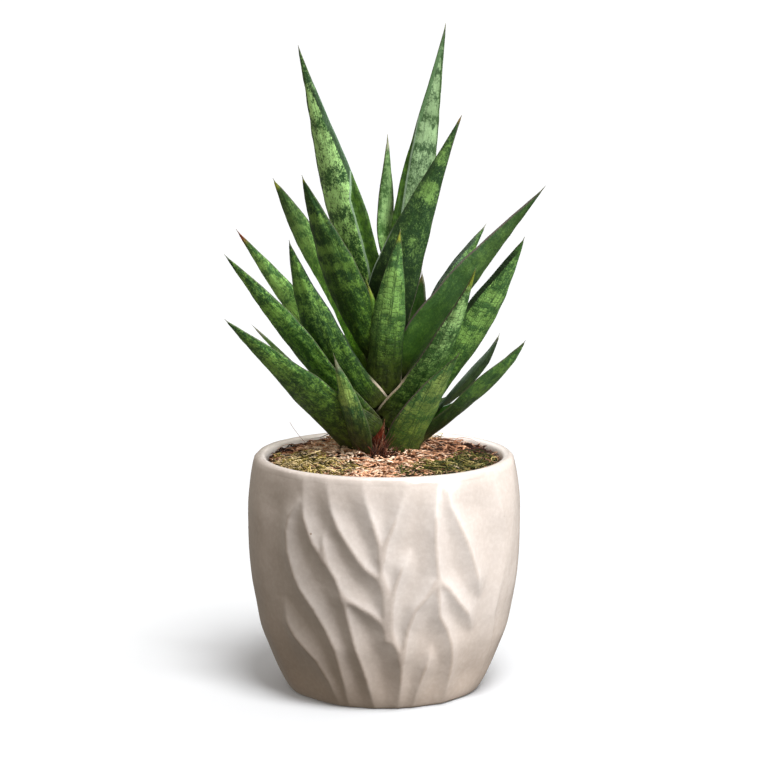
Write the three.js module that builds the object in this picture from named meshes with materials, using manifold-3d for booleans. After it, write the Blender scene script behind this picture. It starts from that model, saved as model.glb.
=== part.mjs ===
// Potted snake plant: a faceted ceramic pot with crossing carved ridges, filled with potting mix,
// a coir top dressing with moss, and one clump of clasping, pointed, cross-banded leaves.
// Millimetres, +Z up. The origin is the middle of the pot's flat foot; the front of the pot is -Y.
// Angles round the pot ("azimuth") are in degrees from the front, growing towards +X.

import * as THREE from 'three';
import { mergeVertices } from 'three/addons/utils/BufferGeometryUtils.js';
import Module from 'manifold-3d';

const wasm = await Module();
wasm.setup();

// ---------------------------------------------------------------- driving dimensions

const FIT_GAP = 0.35; // clearance left between touching pieces

// Pot: the outer wall as [height, radius], from the foot to the rim.
const POT_HEIGHT = 122;
const FOOT_RADIUS = 47.5;
const POT_WALL = [
  [0, FOOT_RADIUS], [1, 49.4], [5.8, 52.3], [14.8, 56.5], [24, 60.4], [33, 63.6], [44, 65.8],
  [58, 68.3], [72, 69.5], [85, 70], [97, 70], [107, 68.9], [114, 67.8], [118, 67.0],
];
const POT_LIP = [[120.4, 66.4], [121.6, 65.2], [POT_HEIGHT, 63.6]];
const CAVITY_WALL = [[9, 40], [14, 46], [34, 54.5], [60, 58.2], [90, 60], [117.5, 60]];
const CAVITY_MOUTH = [[120.4, 60.6], [121.6, 61.8], [POT_HEIGHT + 2, 62.6]];
const POT_SEGMENTS = 90;
const POT_ROWS = 17;
const CAVITY_SEGMENTS = 40;

// Carved ridges: sharp crests with smooth scoops between them, as [azimuth, height] polylines
// over the front half of the pot. The pattern is repeated at the back, and the two are parted by plain
// panels at the sides.
const RIDGE_REPEATS = 2;
const PANEL_START = 50; // azimuth from which the carving fades into the plain panel
const PANEL_REACH = 16; // and the angle within which it has faded
const RIDGE_DEPTH = 3.6;
const RIDGE_FALLOFF = 7.5;
const RIDGE_BLEND = 5;
const RIDGE_FOOT_SHARE = 0.35; // share of the depth that is left at the foot
const RIDGE_FOOT_REACH = 18; // and the height by which it is full
const RIDGE_RIM_SHARE = 0.3; // share of the depth that is left at the rim
const RIDGE_RIM_REACH = 24; // and the distance below the rim at which it is full
const RIDGE_RUN_OUT = 18; // length over which a ridge that ends in the open wall runs out
const RIDGES_OPEN_AT_START = [1, 6, 11, 13];
const RIDGES_OPEN_AT_END = [8, 9];
const WALL_MM_PER_DEGREE = 1.15;
const RIDGES = [
  [
    [-37, 119], [-35, 100], [-31, 88], [-25.5, 80], [-20.5, 71],
    [-17.5, 61], [-15.5, 48], [-13, 34], [-10, 22], [-6.5, 5], [-4.5, -3],
  ],
  [[-24, 103], [-26, 91], [-25.5, 80]],
  [[-17.5, 61], [-12, 58], [-5, 53], [0.5, 47], [4, 39], [7, 32], [8.3, 24], [8.5, 12], [8, -3]],
  [[-25, 120], [-22.5, 106], [-19, 96], [-14, 87], [-8, 77], [-2.5, 72], [0.5, 64], [1.7, 51]],
  [[-9.5, 121], [-7.5, 111], [-4.5, 99], [-2, 89], [-1.2, 82], [-1.2, 74], [0.5, 67], [1.8, 40]],
  [[9.5, 119], [6.5, 107], [3.3, 97], [0.5, 89], [-0.8, 82]],
  [[14.5, 92], [10.5, 84], [7.3, 77], [4.5, 67], [2.5, 56], [2, 40]],
  [[21.3, 67], [17.5, 61], [13.3, 55], [10.4, 45], [9.3, 37], [8.3, 29]],
  [
    [23, 120], [21.5, 105], [21.4, 91], [22.4, 76], [23.5, 69],
    [28, 65], [33.5, 57], [39.5, 50], [44.5, 42], [47.5, 35],
  ],
  [[28, 114], [29, 107], [32.5, 97], [36.6, 87], [40.5, 76], [45, 62], [48.5, 51]],
  [[22.7, 68], [23.5, 60], [24.5, 51], [29, 43], [32, 35], [34.5, 24], [36, 9], [37, -3]],
  [[23.5, 42], [22, 36], [21.3, 27], [19.5, 19], [18, 11], [16.5, -3]],
  [
    [-38, 108], [-43, 100], [-44.5, 92], [-44, 82], [-41.5, 72], [-38, 63],
    [-32, 54], [-26.5, 43], [-23, 33], [-21, 13], [-21, -3],
  ],
  [[-48.5, 61], [-49, 53], [-48, 43], [-44.5, 37], [-40, 32], [-34, 25], [-29, 12], [-26, -3]],
  [[56, 116], [58, 101], [62, 88], [63, 74], [59, 60], [57, 46], [60, 30], [63, 12], [64, -3]],
];

// Potting mix and what covers it.
const MIX_EDGE_HEIGHT = 114.2;
const MIX_CROWN_HEIGHT = 120.2;
const CROWN_RADIUS = 16;
const CROWN_DEPTH = 96;
const DRESSING_INNER = 21.5;
const DRESSING_OUTER = 59.4;
const DRESSING_THICKNESS = 2.6;
const DRESSING_SEGMENTS = 72;
const DRESSING_ROWS = 7;
const CHIP_COUNT = 70;
const CHIP_RISE = 2.1;
const CHIP_SEED = 4207;

// Moss cushions on the dressing: a sector from azimuth to azimuth, over some of the dressing's rows.
const MOSSES = [
  { name: 'moss_front_left', from: -68, to: -10, firstRow: 0, lastRow: 4, rise: 2.6, waves: 3 },
  { name: 'moss_front_right', from: 16, to: 74, firstRow: 0, lastRow: 3, rise: 2.8, waves: 4 },
  { name: 'moss_back', from: 150, to: 210, firstRow: 0, lastRow: 4, rise: 2.6, waves: 3 },
];
const MOSS_EDGE = 0.7;

// Stem: a short crown that the leaves grow from.
const STEM_FOOT_HEIGHT = 121;
const STEM_TIP_HEIGHT = 192;
const STEM_TIP_RADIUS = 3.2;
const STEM_SEGMENTS = 28;

// Leaves, youngest first. Each has a root [azimuth, height] on the crown, where the blade clasps it to
// `clasp` degrees on either side and faces outward, and a tip [azimuth, reach, height]. The middle of the
// blade is moved by `bend` [x, y, z] mm from the straight line between them, and its face turns by `twist`
// degrees on the way to the tip. `taper` is [share, power] of a blade that narrows otherwise than the rest,
// and `stand` is how far a scale's root stands off the crown.
const BLADE_THICKNESS = 2.6;
const MARGIN_THICKNESS = 0.9;
const BLADE_STATIONS = 12;
const BLADE_COLUMNS = 4;
const BLADE_SPAN = 35.5; // degrees from the middle of the section's arc to its margin, above the clasp
const AWL_HALF_WIDTH = 0.55;
const TAPER_SHARE = 0.67; // share of the blade's length over which it narrows to its tip
const TAPER_POWER = 1.1;
const CLASP_SHARE = 0.3; // share of its length over which the clasping base becomes the blade
const OPENING_SHARE = 0.45; // share over which the channel opens out
const TWIST_SHARE = 0.7; // share over which its face turns
const FULL_SHARE = 0.55; // share of its greatest width at which it is thickest
const SPIKE_LENGTH = 7; // length over which the tip is narrowed to an awl
const SPIKE_SHARE = 0.42; // share of the width that is left at its point
const LEAVES = [
  { root: [-69, 186], tip: [-103, 44.5, 329.5], bend: [3, 0, -15], width: 33, twist: 26, clasp: 66 },
  { root: [168, 181], tip: [150, 3.5, 285], bend: [0, 0, 0], width: 15, twist: -132, clasp: 60 },
  { root: [82, 177], tip: [104, 32, 340.5], bend: [-3, 0, -15], width: 28.5, twist: -47, clasp: 66 },
  { root: [-25, 173], tip: [60, 44.5, 296.5], bend: [-10.5, 0, -16], width: 27, twist: 25, clasp: 66 },
  { root: [-37, 170], tip: [-58, 48, 267], bend: [-2, 0, 1], width: 26.5, twist: -2, clasp: 66 },
  { root: [-6, 165], tip: [-28, 20, 215], bend: [2, 0, 0], width: 6, twist: 0, clasp: 24 },
  { root: [-100, 164], tip: [-112, 61.5, 261], bend: [-4, 0, 9], width: 24.5, twist: 47, clasp: 62 },
  { root: [56, 163], tip: [88, 81.5, 259.5], bend: [-6.5, 0, -5], width: 27.5, twist: 0, clasp: 66 },
  { root: [150, 158], tip: [140, 30.5, 213], bend: [3.5, 0, 2], width: 14.5, twist: 0, clasp: 45 },
  { root: [-8, 155], tip: [18, 26.5, 240], bend: [-0.5, 0, 0], width: 18.5, twist: 9, clasp: 56 },
  { root: [-168, 152], tip: [-170, 34, 205], bend: [0, 0, 4], width: 18, twist: 0, clasp: 50 },
  { root: [104, 150], tip: [122, 62.5, 236.5], bend: [-2.5, 0, 2], width: 22.5, twist: -54, clasp: 60 },
  { root: [-100, 148], tip: [-102, 77.5, 235.5], bend: [0, 0, 0], width: 23.5, twist: 44, clasp: 60 },
  { root: [-45, 145], tip: [-60, 54.5, 235], bend: [-4.5, 0, -3], width: 25.5, twist: 12, clasp: 66 },
  {
    root: [43, 140],
    tip: [40.3, 69.3, 224],
    bend: [1, 0, 2],
    width: 24,
    twist: -12,
    clasp: 66,
    taper: [1, 1.6],
  },
  { root: [158, 137], tip: [160, 54, 196], bend: [0, 2, 5], width: 22, twist: 0, clasp: 56 },
  { root: [-62, 134.5], tip: [-70, 84.5, 228], bend: [0, 0, 2.5], width: 24.5, twist: 13, clasp: 66 },
  { root: [118, 134.5], tip: [121, 70.5, 178.5], bend: [6.5, 0, -2.5], width: 19.5, twist: -33, clasp: 55 },
  { root: [52, 132.5], tip: [60, 80, 238], bend: [5, 0, 5], width: 25, twist: -22, clasp: 68 },
  { root: [-150, 131], tip: [-162, 60, 188], bend: [-1, 2, 5], width: 22, twist: 0, clasp: 56 },
  { root: [-124, 129], tip: [-124, 84, 181.5], bend: [0, 0, 0.5], width: 16, twist: 20, clasp: 44 },
  { root: [83, 127], tip: [74, 74, 183.5], bend: [6.5, 0, 1], width: 28, twist: -22, clasp: 60 },
  { root: [-38, 125], tip: [-63, 88.5, 197], bend: [0.5, 0, -0.5], width: 31, twist: -14, clasp: 68 },
  { root: [178, 123], tip: [176, 64, 172], bend: [0, 0, 6], width: 24, twist: 0, clasp: 60 },
  { root: [31, 122], tip: [41.4, 56, 180], bend: [-2.5, 0, -1.5], width: 25.5, twist: 8, clasp: 46 },
  { root: [-42, 121], tip: [-37, 42, 179], bend: [2, -6, -3], width: 14, twist: 8, clasp: 28 },
];

// Dry scales at the foot of the clump, placed in the same way.
const DRY_SCALES = [
  {
    name: 'dry_scale_front',
    root: [-20, 121],
    tip: [1, 24, 143.8],
    bend: [-0.8, 0, 0],
    width: 11,
    twist: 0,
    clasp: 16,
    stand: 3,
  },
  {
    name: 'dry_scale_right',
    root: [14, 121],
    tip: [10, 23, 137],
    bend: [0, 0, 0],
    width: 5,
    twist: 0,
    clasp: 8,
  },
];
const SCALE_THICKNESS = 1.1;
const SCALE_STATIONS = 8;

// ---------------------------------------------------------------- materials

const finish = (color, roughness) => new THREE.MeshStandardMaterial({ color, roughness, metalness: 0 });
const GLAZE = finish(0xe6dccd, 0.3);
const MIX = finish(0x3a2b22, 0.95);
const COIR = finish(0xb98f78, 0.95);
const MOSS = finish(0x9a9a3c, 0.95);
const STEM_SKIN = finish(0x6f6a3a, 0.7);
const LEAF_SKIN = finish(0x4a6b3a, 0.45);
const DRY_SCALE = finish(0x8a4f34, 0.8);

// ---------------------------------------------------------------- small helpers

const radians = THREE.MathUtils.degToRad;
const smooth = (edge0, edge1, x) => THREE.MathUtils.smoothstep(x, edge0, edge1);

// A seeded random number generator, so that every build scatters the same chips.
function seededRandom(seed) {
  let state = seed;
  return () => {
    state = (state * 1664525 + 1013904223) % 4294967296;
    return state / 4294967296;
  };
}

// A closed BufferGeometry as a solid, and a solid as a BufferGeometry.
function toSolid(geometry) {
  const bare = geometry.clone();
  bare.deleteAttribute('normal');
  bare.deleteAttribute('uv');
  const merged = mergeVertices(bare, 1e-4);
  const mesh = new wasm.Mesh({
    numProp: 3,
    vertProperties: Float32Array.from(merged.attributes.position.array),
    triVerts: Uint32Array.from(merged.index.array),
  });
  return new wasm.Manifold(mesh);
}

function toGeometry(solid) {
  const mesh = solid.getMesh();
  const geometry = new THREE.BufferGeometry();
  geometry.setAttribute('position', new THREE.BufferAttribute(Float32Array.from(mesh.vertProperties), 3));
  geometry.setIndex(new THREE.BufferAttribute(Uint32Array.from(mesh.triVerts), 1));
  geometry.computeVertexNormals();
  return geometry;
}

// The largest single body of a solid: loose scraps left by a cut are dropped.
function largestBody(solid) {
  const bodies = solid.decompose();
  return bodies.reduce((best, body) => (body.volume() > best.volume() ? body : best));
}

// A lathe turned to stand on +Z, from [height, radius] points given from the bottom upward.
function turned(points, segments) {
  const profile = points.map(([height, radius]) => new THREE.Vector2(radius, height));
  return new THREE.LatheGeometry(profile, segments).rotateX(Math.PI / 2);
}

// A closed slab between two sheets of points that share rows and columns. `closed` joins the last
// column to the first. Both faces are split into triangles along the same diagonals.
function slab(upper, lower, rows, columns, closed) {
  const positions = [...upper, ...lower].flatMap((point) => point.toArray());
  const offset = rows * columns;
  const index = [];
  const quad = (a, b, c, d) => index.push(a, b, c, a, c, d);
  const spans = closed ? columns : columns - 1;
  for (let row = 0; row < rows - 1; row += 1) {
    for (let column = 0; column < spans; column += 1) {
      const next = (column + 1) % columns;
      const a = row * columns + column;
      const b = row * columns + next;
      const c = (row + 1) * columns + next;
      const d = (row + 1) * columns + column;
      quad(a, b, c, d);
      index.push(offset + a, offset + c, offset + b, offset + a, offset + d, offset + c);
    }
    if (!closed) {
      const left = row * columns;
      const right = left + columns - 1;
      quad(left, left + columns, offset + left + columns, offset + left);
      quad(right + columns, right, offset + right, offset + right + columns);
    }
  }
  for (let column = 0; column < spans; column += 1) {
    const next = (column + 1) % columns;
    const last = (rows - 1) * columns;
    quad(next, column, offset + column, offset + next);
    quad(last + column, last + next, offset + last + next, offset + last + column);
  }
  const geometry = new THREE.BufferGeometry();
  geometry.setAttribute('position', new THREE.Float32BufferAttribute(positions, 3));
  geometry.setIndex(index);
  geometry.computeVertexNormals();
  return geometry;
}

const polar = (azimuth, radius, height) => new THREE.Vector3(
  radius * Math.sin(radians(azimuth)),
  -radius * Math.cos(radians(azimuth)),
  height,
);

// ---------------------------------------------------------------- pot

// The nearest place on one straight stretch of a crest: how far off it is along the wall, in mm, and
// how far along the stretch it lies, as a share of its length.
function nearestOnStretch(azimuth, height, radius, start, end) {
  const scale = radians(1) * radius;
  const px = (azimuth - start[0]) * scale;
  const py = height - start[1];
  const dx = (end[0] - start[0]) * scale;
  const dy = end[1] - start[1];
  const along = THREE.MathUtils.clamp((px * dx + py * dy) / (dx * dx + dy * dy), 0, 1);
  return { distance: Math.hypot(px - along * dx, py - along * dy), along };
}

// How strongly one ridge stands at a point: 1 on its crest, and less with the distance from it. A ridge
// that ends in the open wall runs out to nothing there.
function ridgeStrength(ridge, number, azimuth, height, radius) {
  const sector = 360 / RIDGE_REPEATS;
  let nearest = Infinity;
  let reach = 0;
  let done = 0;
  for (let i = 0; i < ridge.length - 1; i += 1) {
    const [start, end] = [ridge[i], ridge[i + 1]];
    const length = Math.hypot(WALL_MM_PER_DEGREE * (end[0] - start[0]), end[1] - start[1]);
    for (const turn of [-sector, 0, sector]) {
      const { distance, along } = nearestOnStretch(azimuth + turn, height, radius, start, end);
      if (distance < nearest) {
        nearest = distance;
        reach = done + along * length;
      }
    }
    done += length;
  }
  const fromStart = RIDGES_OPEN_AT_START.includes(number) ? smooth(-1, RIDGE_RUN_OUT, reach) : 1;
  const fromEnd = RIDGES_OPEN_AT_END.includes(number) ? smooth(-1, RIDGE_RUN_OUT, done - reach) : 1;
  return fromStart * fromEnd * Math.exp(-nearest / RIDGE_FALLOFF);
}

// How far the wall is scooped in: nothing on a crest, RIDGE_DEPTH far from every crest, and less of it
// towards the foot and the rim.
function scoopDepth(azimuth, height, radius) {
  const sector = 360 / RIDGE_REPEATS;
  const local = azimuth - sector * Math.round(azimuth / sector);
  const sum = RIDGES.reduce(
    (total, ridge, number) => total + ridgeStrength(ridge, number, local, height, radius) ** RIDGE_BLEND,
    0,
  );
  const crest = Math.min(1, sum ** (1 / RIDGE_BLEND));
  const wallTop = POT_WALL.at(-1)[0];
  const foot = THREE.MathUtils.lerp(RIDGE_FOOT_SHARE, 1, smooth(0, RIDGE_FOOT_REACH, height));
  const nearRim = smooth(POT_HEIGHT - RIDGE_RIM_REACH, wallTop, height);
  const rim = THREE.MathUtils.lerp(1, RIDGE_RIM_SHARE, nearRim);
  const lip = 1 - smooth(wallTop, POT_LIP[1][0], height);
  const panel = 1 - smooth(PANEL_START, PANEL_START + PANEL_REACH, Math.abs(local));
  return RIDGE_DEPTH * (1 - crest) * foot * rim * lip * panel;
}

function makePot() {
  const wallPoints = POT_WALL.map(([height, radius]) => new THREE.Vector2(radius, height));
  const wall = new THREE.SplineCurve(wallPoints).getSpacedPoints(POT_ROWS);
  const rows = wall.map((point) => [point.y, point.x]);
  const body = turned([[0, 0], ...rows, ...POT_LIP, [POT_HEIGHT, 0]], POT_SEGMENTS);
  const position = body.attributes.position;
  const lowest = 0.5;
  const highest = POT_LIP[1][0];
  for (let i = 0; i < position.count; i += 1) {
    const [x, y, height] = [position.getX(i), position.getY(i), position.getZ(i)];
    const radius = Math.hypot(x, y);
    if (height > lowest && height < highest) {
      const azimuth = THREE.MathUtils.radToDeg(Math.atan2(x, -y));
      const carved = radius - scoopDepth(azimuth, height, radius);
      position.setXY(i, (x * carved) / radius, (y * carved) / radius);
    }
  }
  const floor = CAVITY_WALL[0][0];
  const mouth = CAVITY_MOUTH.at(-1)[0];
  const cavity = turned([[floor, 0], ...CAVITY_WALL, ...CAVITY_MOUTH, [mouth, 0]], CAVITY_SEGMENTS);
  return toGeometry(toSolid(body).subtract(toSolid(cavity)));
}

// ---------------------------------------------------------------- potting mix and dressing

const mixHeight = (radius) => THREE.MathUtils.lerp(
  MIX_CROWN_HEIGHT,
  MIX_EDGE_HEIGHT,
  THREE.MathUtils.clamp((radius - CROWN_RADIUS) / (DRESSING_OUTER - CROWN_RADIUS), 0, 1),
);

// The potting mix, with a plain hole for the crown.
function makePottingMix() {
  const floor = CAVITY_WALL[0][0] + FIT_GAP;
  const side = CAVITY_WALL.map(([height, radius]) => [height, radius - FIT_GAP]);
  side[0] = [floor, CAVITY_WALL[0][1] - FIT_GAP];
  side[side.length - 1] = [MIX_EDGE_HEIGHT, CAVITY_WALL.at(-1)[1] - FIT_GAP];
  const hole = CROWN_RADIUS + FIT_GAP;
  const top = [[mixHeight(40), 40], [MIX_CROWN_HEIGHT, hole], [CROWN_DEPTH - FIT_GAP, hole]];
  return turned([[floor, 0], ...side, ...top, [CROWN_DEPTH - FIT_GAP, 0]], CAVITY_SEGMENTS);
}

// Coir chips lie every way on the dressing; each is a short ridge of the surface.
const nextRandom = seededRandom(CHIP_SEED);
const CHIPS = Array.from({ length: CHIP_COUNT }, () => {
  const azimuth = 360 * nextRandom();
  const radius = THREE.MathUtils.lerp(DRESSING_INNER + 3, DRESSING_OUTER - 3, Math.sqrt(nextRandom()));
  return {
    centre: polar(azimuth, radius, 0),
    turn: Math.PI * nextRandom(),
    length: 4 + 7 * nextRandom(),
    breadth: 1.8 + 1.6 * nextRandom(),
    rise: CHIP_RISE * (0.5 + 0.5 * nextRandom()),
  };
});

// Height of the dressing: a level bed that thins at its edges, with the highest chip at each point.
function dressingHeight(azimuth, radius) {
  const point = polar(azimuth, radius, 0);
  let rise = 0;
  for (const chip of CHIPS) {
    const dx = point.x - chip.centre.x;
    const dy = point.y - chip.centre.y;
    const along = (dx * Math.cos(chip.turn) + dy * Math.sin(chip.turn)) / chip.length;
    const across = (dy * Math.cos(chip.turn) - dx * Math.sin(chip.turn)) / chip.breadth;
    rise = Math.max(rise, chip.rise * Math.exp(-along * along - across * across));
  }
  const bed = mixHeight(radius) + FIT_GAP + DRESSING_THICKNESS;
  return bed + rise;
}

// Rows of the dressing run inward and its columns with growing azimuth.
const ringRadius = (row) => THREE.MathUtils.lerp(DRESSING_OUTER, DRESSING_INNER, row / (DRESSING_ROWS - 1));
const ringAzimuth = (column) => (360 * column) / DRESSING_SEGMENTS;

// The dressing, or with a clearance, the space round it that the plant keeps out of.
function makeDressing(clearance) {
  const upper = [];
  const lower = [];
  for (let row = 0; row < DRESSING_ROWS; row += 1) {
    const radius = ringRadius(row);
    const place = row === DRESSING_ROWS - 1 ? radius - clearance : radius;
    for (let column = 0; column < DRESSING_SEGMENTS; column += 1) {
      const azimuth = ringAzimuth(column);
      upper.push(polar(azimuth, place, dressingHeight(azimuth, radius) + clearance));
      lower.push(polar(azimuth, place, mixHeight(radius) + FIT_GAP - clearance));
    }
  }
  return slab(upper, lower, DRESSING_ROWS, DRESSING_SEGMENTS, true);
}

// A moss cushion lies on the dressing along the dressing's own rows and columns, so it follows every
// chip below it, and swells to a lumpy dome in the middle of its patch.
function makeMoss(moss) {
  const firstColumn = Math.round((moss.from * DRESSING_SEGMENTS) / 360);
  const lastColumn = Math.round((moss.to * DRESSING_SEGMENTS) / 360);
  const columns = lastColumn - firstColumn + 1;
  const rows = moss.lastRow - moss.firstRow + 1;
  const upper = [];
  const lower = [];
  for (let row = 0; row < rows; row += 1) {
    const radius = ringRadius(moss.firstRow + row);
    for (let column = 0; column < columns; column += 1) {
      const azimuth = ringAzimuth(firstColumn + column);
      const base = dressingHeight(azimuth, radius) + FIT_GAP;
      const across = Math.sin((Math.PI * row) / (rows - 1));
      const along = Math.sin((Math.PI * column) / (columns - 1));
      const lumps = 0.7 + 0.3 * Math.sin(moss.waves * radians(azimuth * 6) + 1.7 * row);
      const rise = MOSS_EDGE + moss.rise * Math.sqrt(across * along) * lumps;
      lower.push(polar(azimuth, radius, base));
      upper.push(polar(azimuth, radius, base + rise));
    }
  }
  return slab(upper, lower, rows, columns, false);
}

// ---------------------------------------------------------------- stem and leaves

function stemRadius(height) {
  const along = (height - STEM_FOOT_HEIGHT) / (STEM_TIP_HEIGHT - STEM_FOOT_HEIGHT);
  return THREE.MathUtils.lerp(CROWN_RADIUS, STEM_TIP_RADIUS, THREE.MathUtils.clamp(along, 0, 1));
}

function stemSolid(clearance) {
  const side = [CROWN_DEPTH, STEM_FOOT_HEIGHT, STEM_TIP_HEIGHT];
  const profile = side.map((height) => [height, stemRadius(height) + clearance]);
  const bottom = CROWN_DEPTH - clearance;
  const top = STEM_TIP_HEIGHT + STEM_TIP_RADIUS + clearance;
  profile[0][0] = bottom;
  return toSolid(turned([[bottom, 0], ...profile, [top, 0]], STEM_SEGMENTS));
}

// Half the blade's width as a share of its greatest, from the root (0) to the tip (1).
function widthShare(leaf, along) {
  const [share, power] = leaf.taper ?? [TAPER_SHARE, TAPER_POWER];
  const fromTip = Math.min(1, (1 - along) / share);
  return Math.sin((Math.PI / 2) * fromTip) ** power;
}

// What is left of the width near the point, where the blade narrows to its awl.
function spikeShare(fromTip) {
  return THREE.MathUtils.lerp(SPIKE_SHARE, 1, smooth(0, SPIKE_LENGTH, fromTip));
}

// The line that the middle of a blade follows, from root to tip.
function bladePath(leaf, thickness) {
  const [rootAzimuth, rootHeight] = leaf.root;
  const [tipAzimuth, reach, tipHeight] = leaf.tip;
  const rootRadius = stemRadius(rootHeight) + FIT_GAP + thickness / 2 + (leaf.stand ?? 0);
  const start = polar(rootAzimuth, rootRadius, rootHeight);
  const end = polar(tipAzimuth, reach, tipHeight);
  const middle = start.clone().add(end).multiplyScalar(0.5);
  const handle = middle.clone().add(new THREE.Vector3(...leaf.bend).multiplyScalar(2));
  return new THREE.QuadraticBezierCurve3(start, handle, end);
}

// A blade is a channel: at each station its section is an arc round a centre on the inner side, thick
// in the middle and thin at the margins. At the root the arc is the crown's own, so the blade clasps
// it; further up it opens to a shallow channel. `grow` fattens it all round.
function bladeSolid(leaf, thickness, stations, grow) {
  const path = bladePath(leaf, thickness);
  const length = path.getLength();
  const halfWidth = leaf.width / 2;
  const claspSpan = radians(leaf.clasp);
  const claspHalf = claspSpan * (stemRadius(leaf.root[1]) + FIT_GAP + thickness / 2);
  const upper = [];
  const lower = [];
  for (let station = 0; station < stations; station += 1) {
    const along = station / (stations - 1);
    const centre = path.getPoint(along);
    const tangent = path.getTangent(along);
    const facing = leaf.root[0] + leaf.twist * smooth(0, TWIST_SHARE, along);
    const outward = polar(facing, 1, 0);
    outward.addScaledVector(tangent, -outward.dot(tangent)).normalize();
    const sideways = new THREE.Vector3().crossVectors(tangent, outward);
    const end = station === 0 ? -1 : Number(station === stations - 1);
    centre.addScaledVector(tangent, end * grow);
    const blade = smooth(0, CLASP_SHARE, along);
    const open = THREE.MathUtils.lerp(claspHalf, halfWidth * widthShare(leaf, along), blade);
    const half = Math.max(AWL_HALF_WIDTH, open * spikeShare((1 - along) * length));
    const opening = smooth(0, OPENING_SHARE, along);
    const span = THREE.MathUtils.lerp(claspSpan, radians(BLADE_SPAN), opening);
    const arcRadius = half / span;
    const fullness = Math.min(1, half / (halfWidth * FULL_SHARE));
    const middle = THREE.MathUtils.lerp(MARGIN_THICKNESS, thickness, fullness);
    for (let column = 0; column <= BLADE_COLUMNS; column += 1) {
      const across = (2 * column) / BLADE_COLUMNS - 1;
      const angle = across * (span + grow / arcRadius);
      const depth = THREE.MathUtils.lerp(middle, MARGIN_THICKNESS, across * across) / 2 + grow;
      const place = (radius) => centre.clone()
        .addScaledVector(sideways, radius * Math.sin(angle))
        .addScaledVector(outward, radius * Math.cos(angle) - arcRadius);
      upper.push(place(arcRadius + depth));
      lower.push(place(arcRadius - depth));
    }
  }
  return toSolid(slab(upper, lower, stations, BLADE_COLUMNS + 1, false));
}

// Grows blades from the first to the last: each is cut clear of all that is there before it.
function growBlades(blades, thickness, stations, taken) {
  return blades.map((leaf) => {
    const whole = bladeSolid(leaf, thickness, stations, 0);
    const clear = largestBody(whole.subtract(wasm.Manifold.union(taken)));
    taken.push(bladeSolid(leaf, thickness, stations, FIT_GAP));
    return clear;
  });
}

// The level that the plant keeps above: the potting mix without its hole.
function mixLevel() {
  const crown = MIX_CROWN_HEIGHT + FIT_GAP;
  const edge = MIX_EDGE_HEIGHT + FIT_GAP;
  const side = [[CROWN_DEPTH, DRESSING_OUTER], [edge, DRESSING_OUTER], [crown, CROWN_RADIUS]];
  return toSolid(turned([[CROWN_DEPTH, 0], ...side, [crown, 0]], CAVITY_SEGMENTS));
}

const taken = [stemSolid(FIT_GAP), mixLevel(), toSolid(makeDressing(FIT_GAP))];
const leaves = growBlades(LEAVES, BLADE_THICKNESS, BLADE_STATIONS, taken);
const dryScales = growBlades(DRY_SCALES, SCALE_THICKNESS, SCALE_STATIONS, taken);

// ---------------------------------------------------------------- the plant in its pot

const plant = new THREE.Group();
function add(name, geometry, material) {
  const mesh = new THREE.Mesh(geometry, material);
  mesh.name = name;
  plant.add(mesh);
}

add('pot', makePot(), GLAZE);
add('potting_mix', toGeometry(toSolid(makePottingMix())), MIX);
add('coir_dressing', makeDressing(0), COIR);
MOSSES.forEach((moss) => add(moss.name, makeMoss(moss), MOSS));
add('stem', toGeometry(stemSolid(0)), STEM_SKIN);
leaves.forEach((solid, i) => add(`leaf_${String(i + 1).padStart(2, '0')}`, toGeometry(solid), LEAF_SKIN));
dryScales.forEach((solid, i) => add(DRY_SCALES[i].name, toGeometry(solid), DRY_SCALE));

export default plant;
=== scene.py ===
"""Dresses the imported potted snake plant: a glazed, ridged pot, a coir and moss dressing, and the leaves.

Every shape is worked out in millimetres as whole numpy arrays and put into its mesh in metres. The frame
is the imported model's: +Z up, the front of the pot towards -Y. Azimuths are degrees from the front to +X.
"""

from __future__ import annotations

import logging
import math
from collections.abc import Callable, Sequence
from dataclasses import dataclass, field
from enum import Enum

import bpy
import numpy as np
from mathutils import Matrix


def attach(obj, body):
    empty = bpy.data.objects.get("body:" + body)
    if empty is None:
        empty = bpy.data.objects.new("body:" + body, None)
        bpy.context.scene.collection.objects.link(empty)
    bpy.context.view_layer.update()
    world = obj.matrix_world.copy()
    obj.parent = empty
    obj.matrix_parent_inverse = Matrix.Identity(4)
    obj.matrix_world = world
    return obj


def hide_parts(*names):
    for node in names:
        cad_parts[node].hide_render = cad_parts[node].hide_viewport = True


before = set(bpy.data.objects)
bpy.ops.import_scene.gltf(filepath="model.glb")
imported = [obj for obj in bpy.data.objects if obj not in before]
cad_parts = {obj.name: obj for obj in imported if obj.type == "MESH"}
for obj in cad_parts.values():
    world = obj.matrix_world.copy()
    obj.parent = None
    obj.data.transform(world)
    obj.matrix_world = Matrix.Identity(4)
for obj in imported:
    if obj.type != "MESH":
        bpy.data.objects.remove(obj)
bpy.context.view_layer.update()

LOG = logging.getLogger("snake_plant")
BODY = "root"
MM = 0.001

Array = np.ndarray
Pair = tuple[float, float]
Triple = tuple[float, float, float]
Colour = Triple
Socket = bpy.types.NodeSocket
Scatter = Callable[[np.random.Generator, int], tuple[Array, Array]]


# ---------------------------------------------------------------- arithmetic on whole arrays


def smooth(low: float, high: float, x: Array | float) -> Array:
    """The smoothstep of x: 0 up to low, 1 from high, and 3t^2 - 2t^3 between them."""
    t = np.clip((np.asarray(x, float) - low) / (high - low), 0, 1)
    return t * t * (3 - 2 * t)


def lerp(a: Array | float, b: Array | float, t: Array | float) -> Array:
    """The value that lies the share t of the way from a to b."""
    return a + (np.asarray(b) - a) * t


def unit(v: Array) -> Array:
    """The vectors of the last axis, each divided by its own length."""
    return v / np.maximum(np.linalg.norm(v, axis=-1, keepdims=True), 1e-12)


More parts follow.
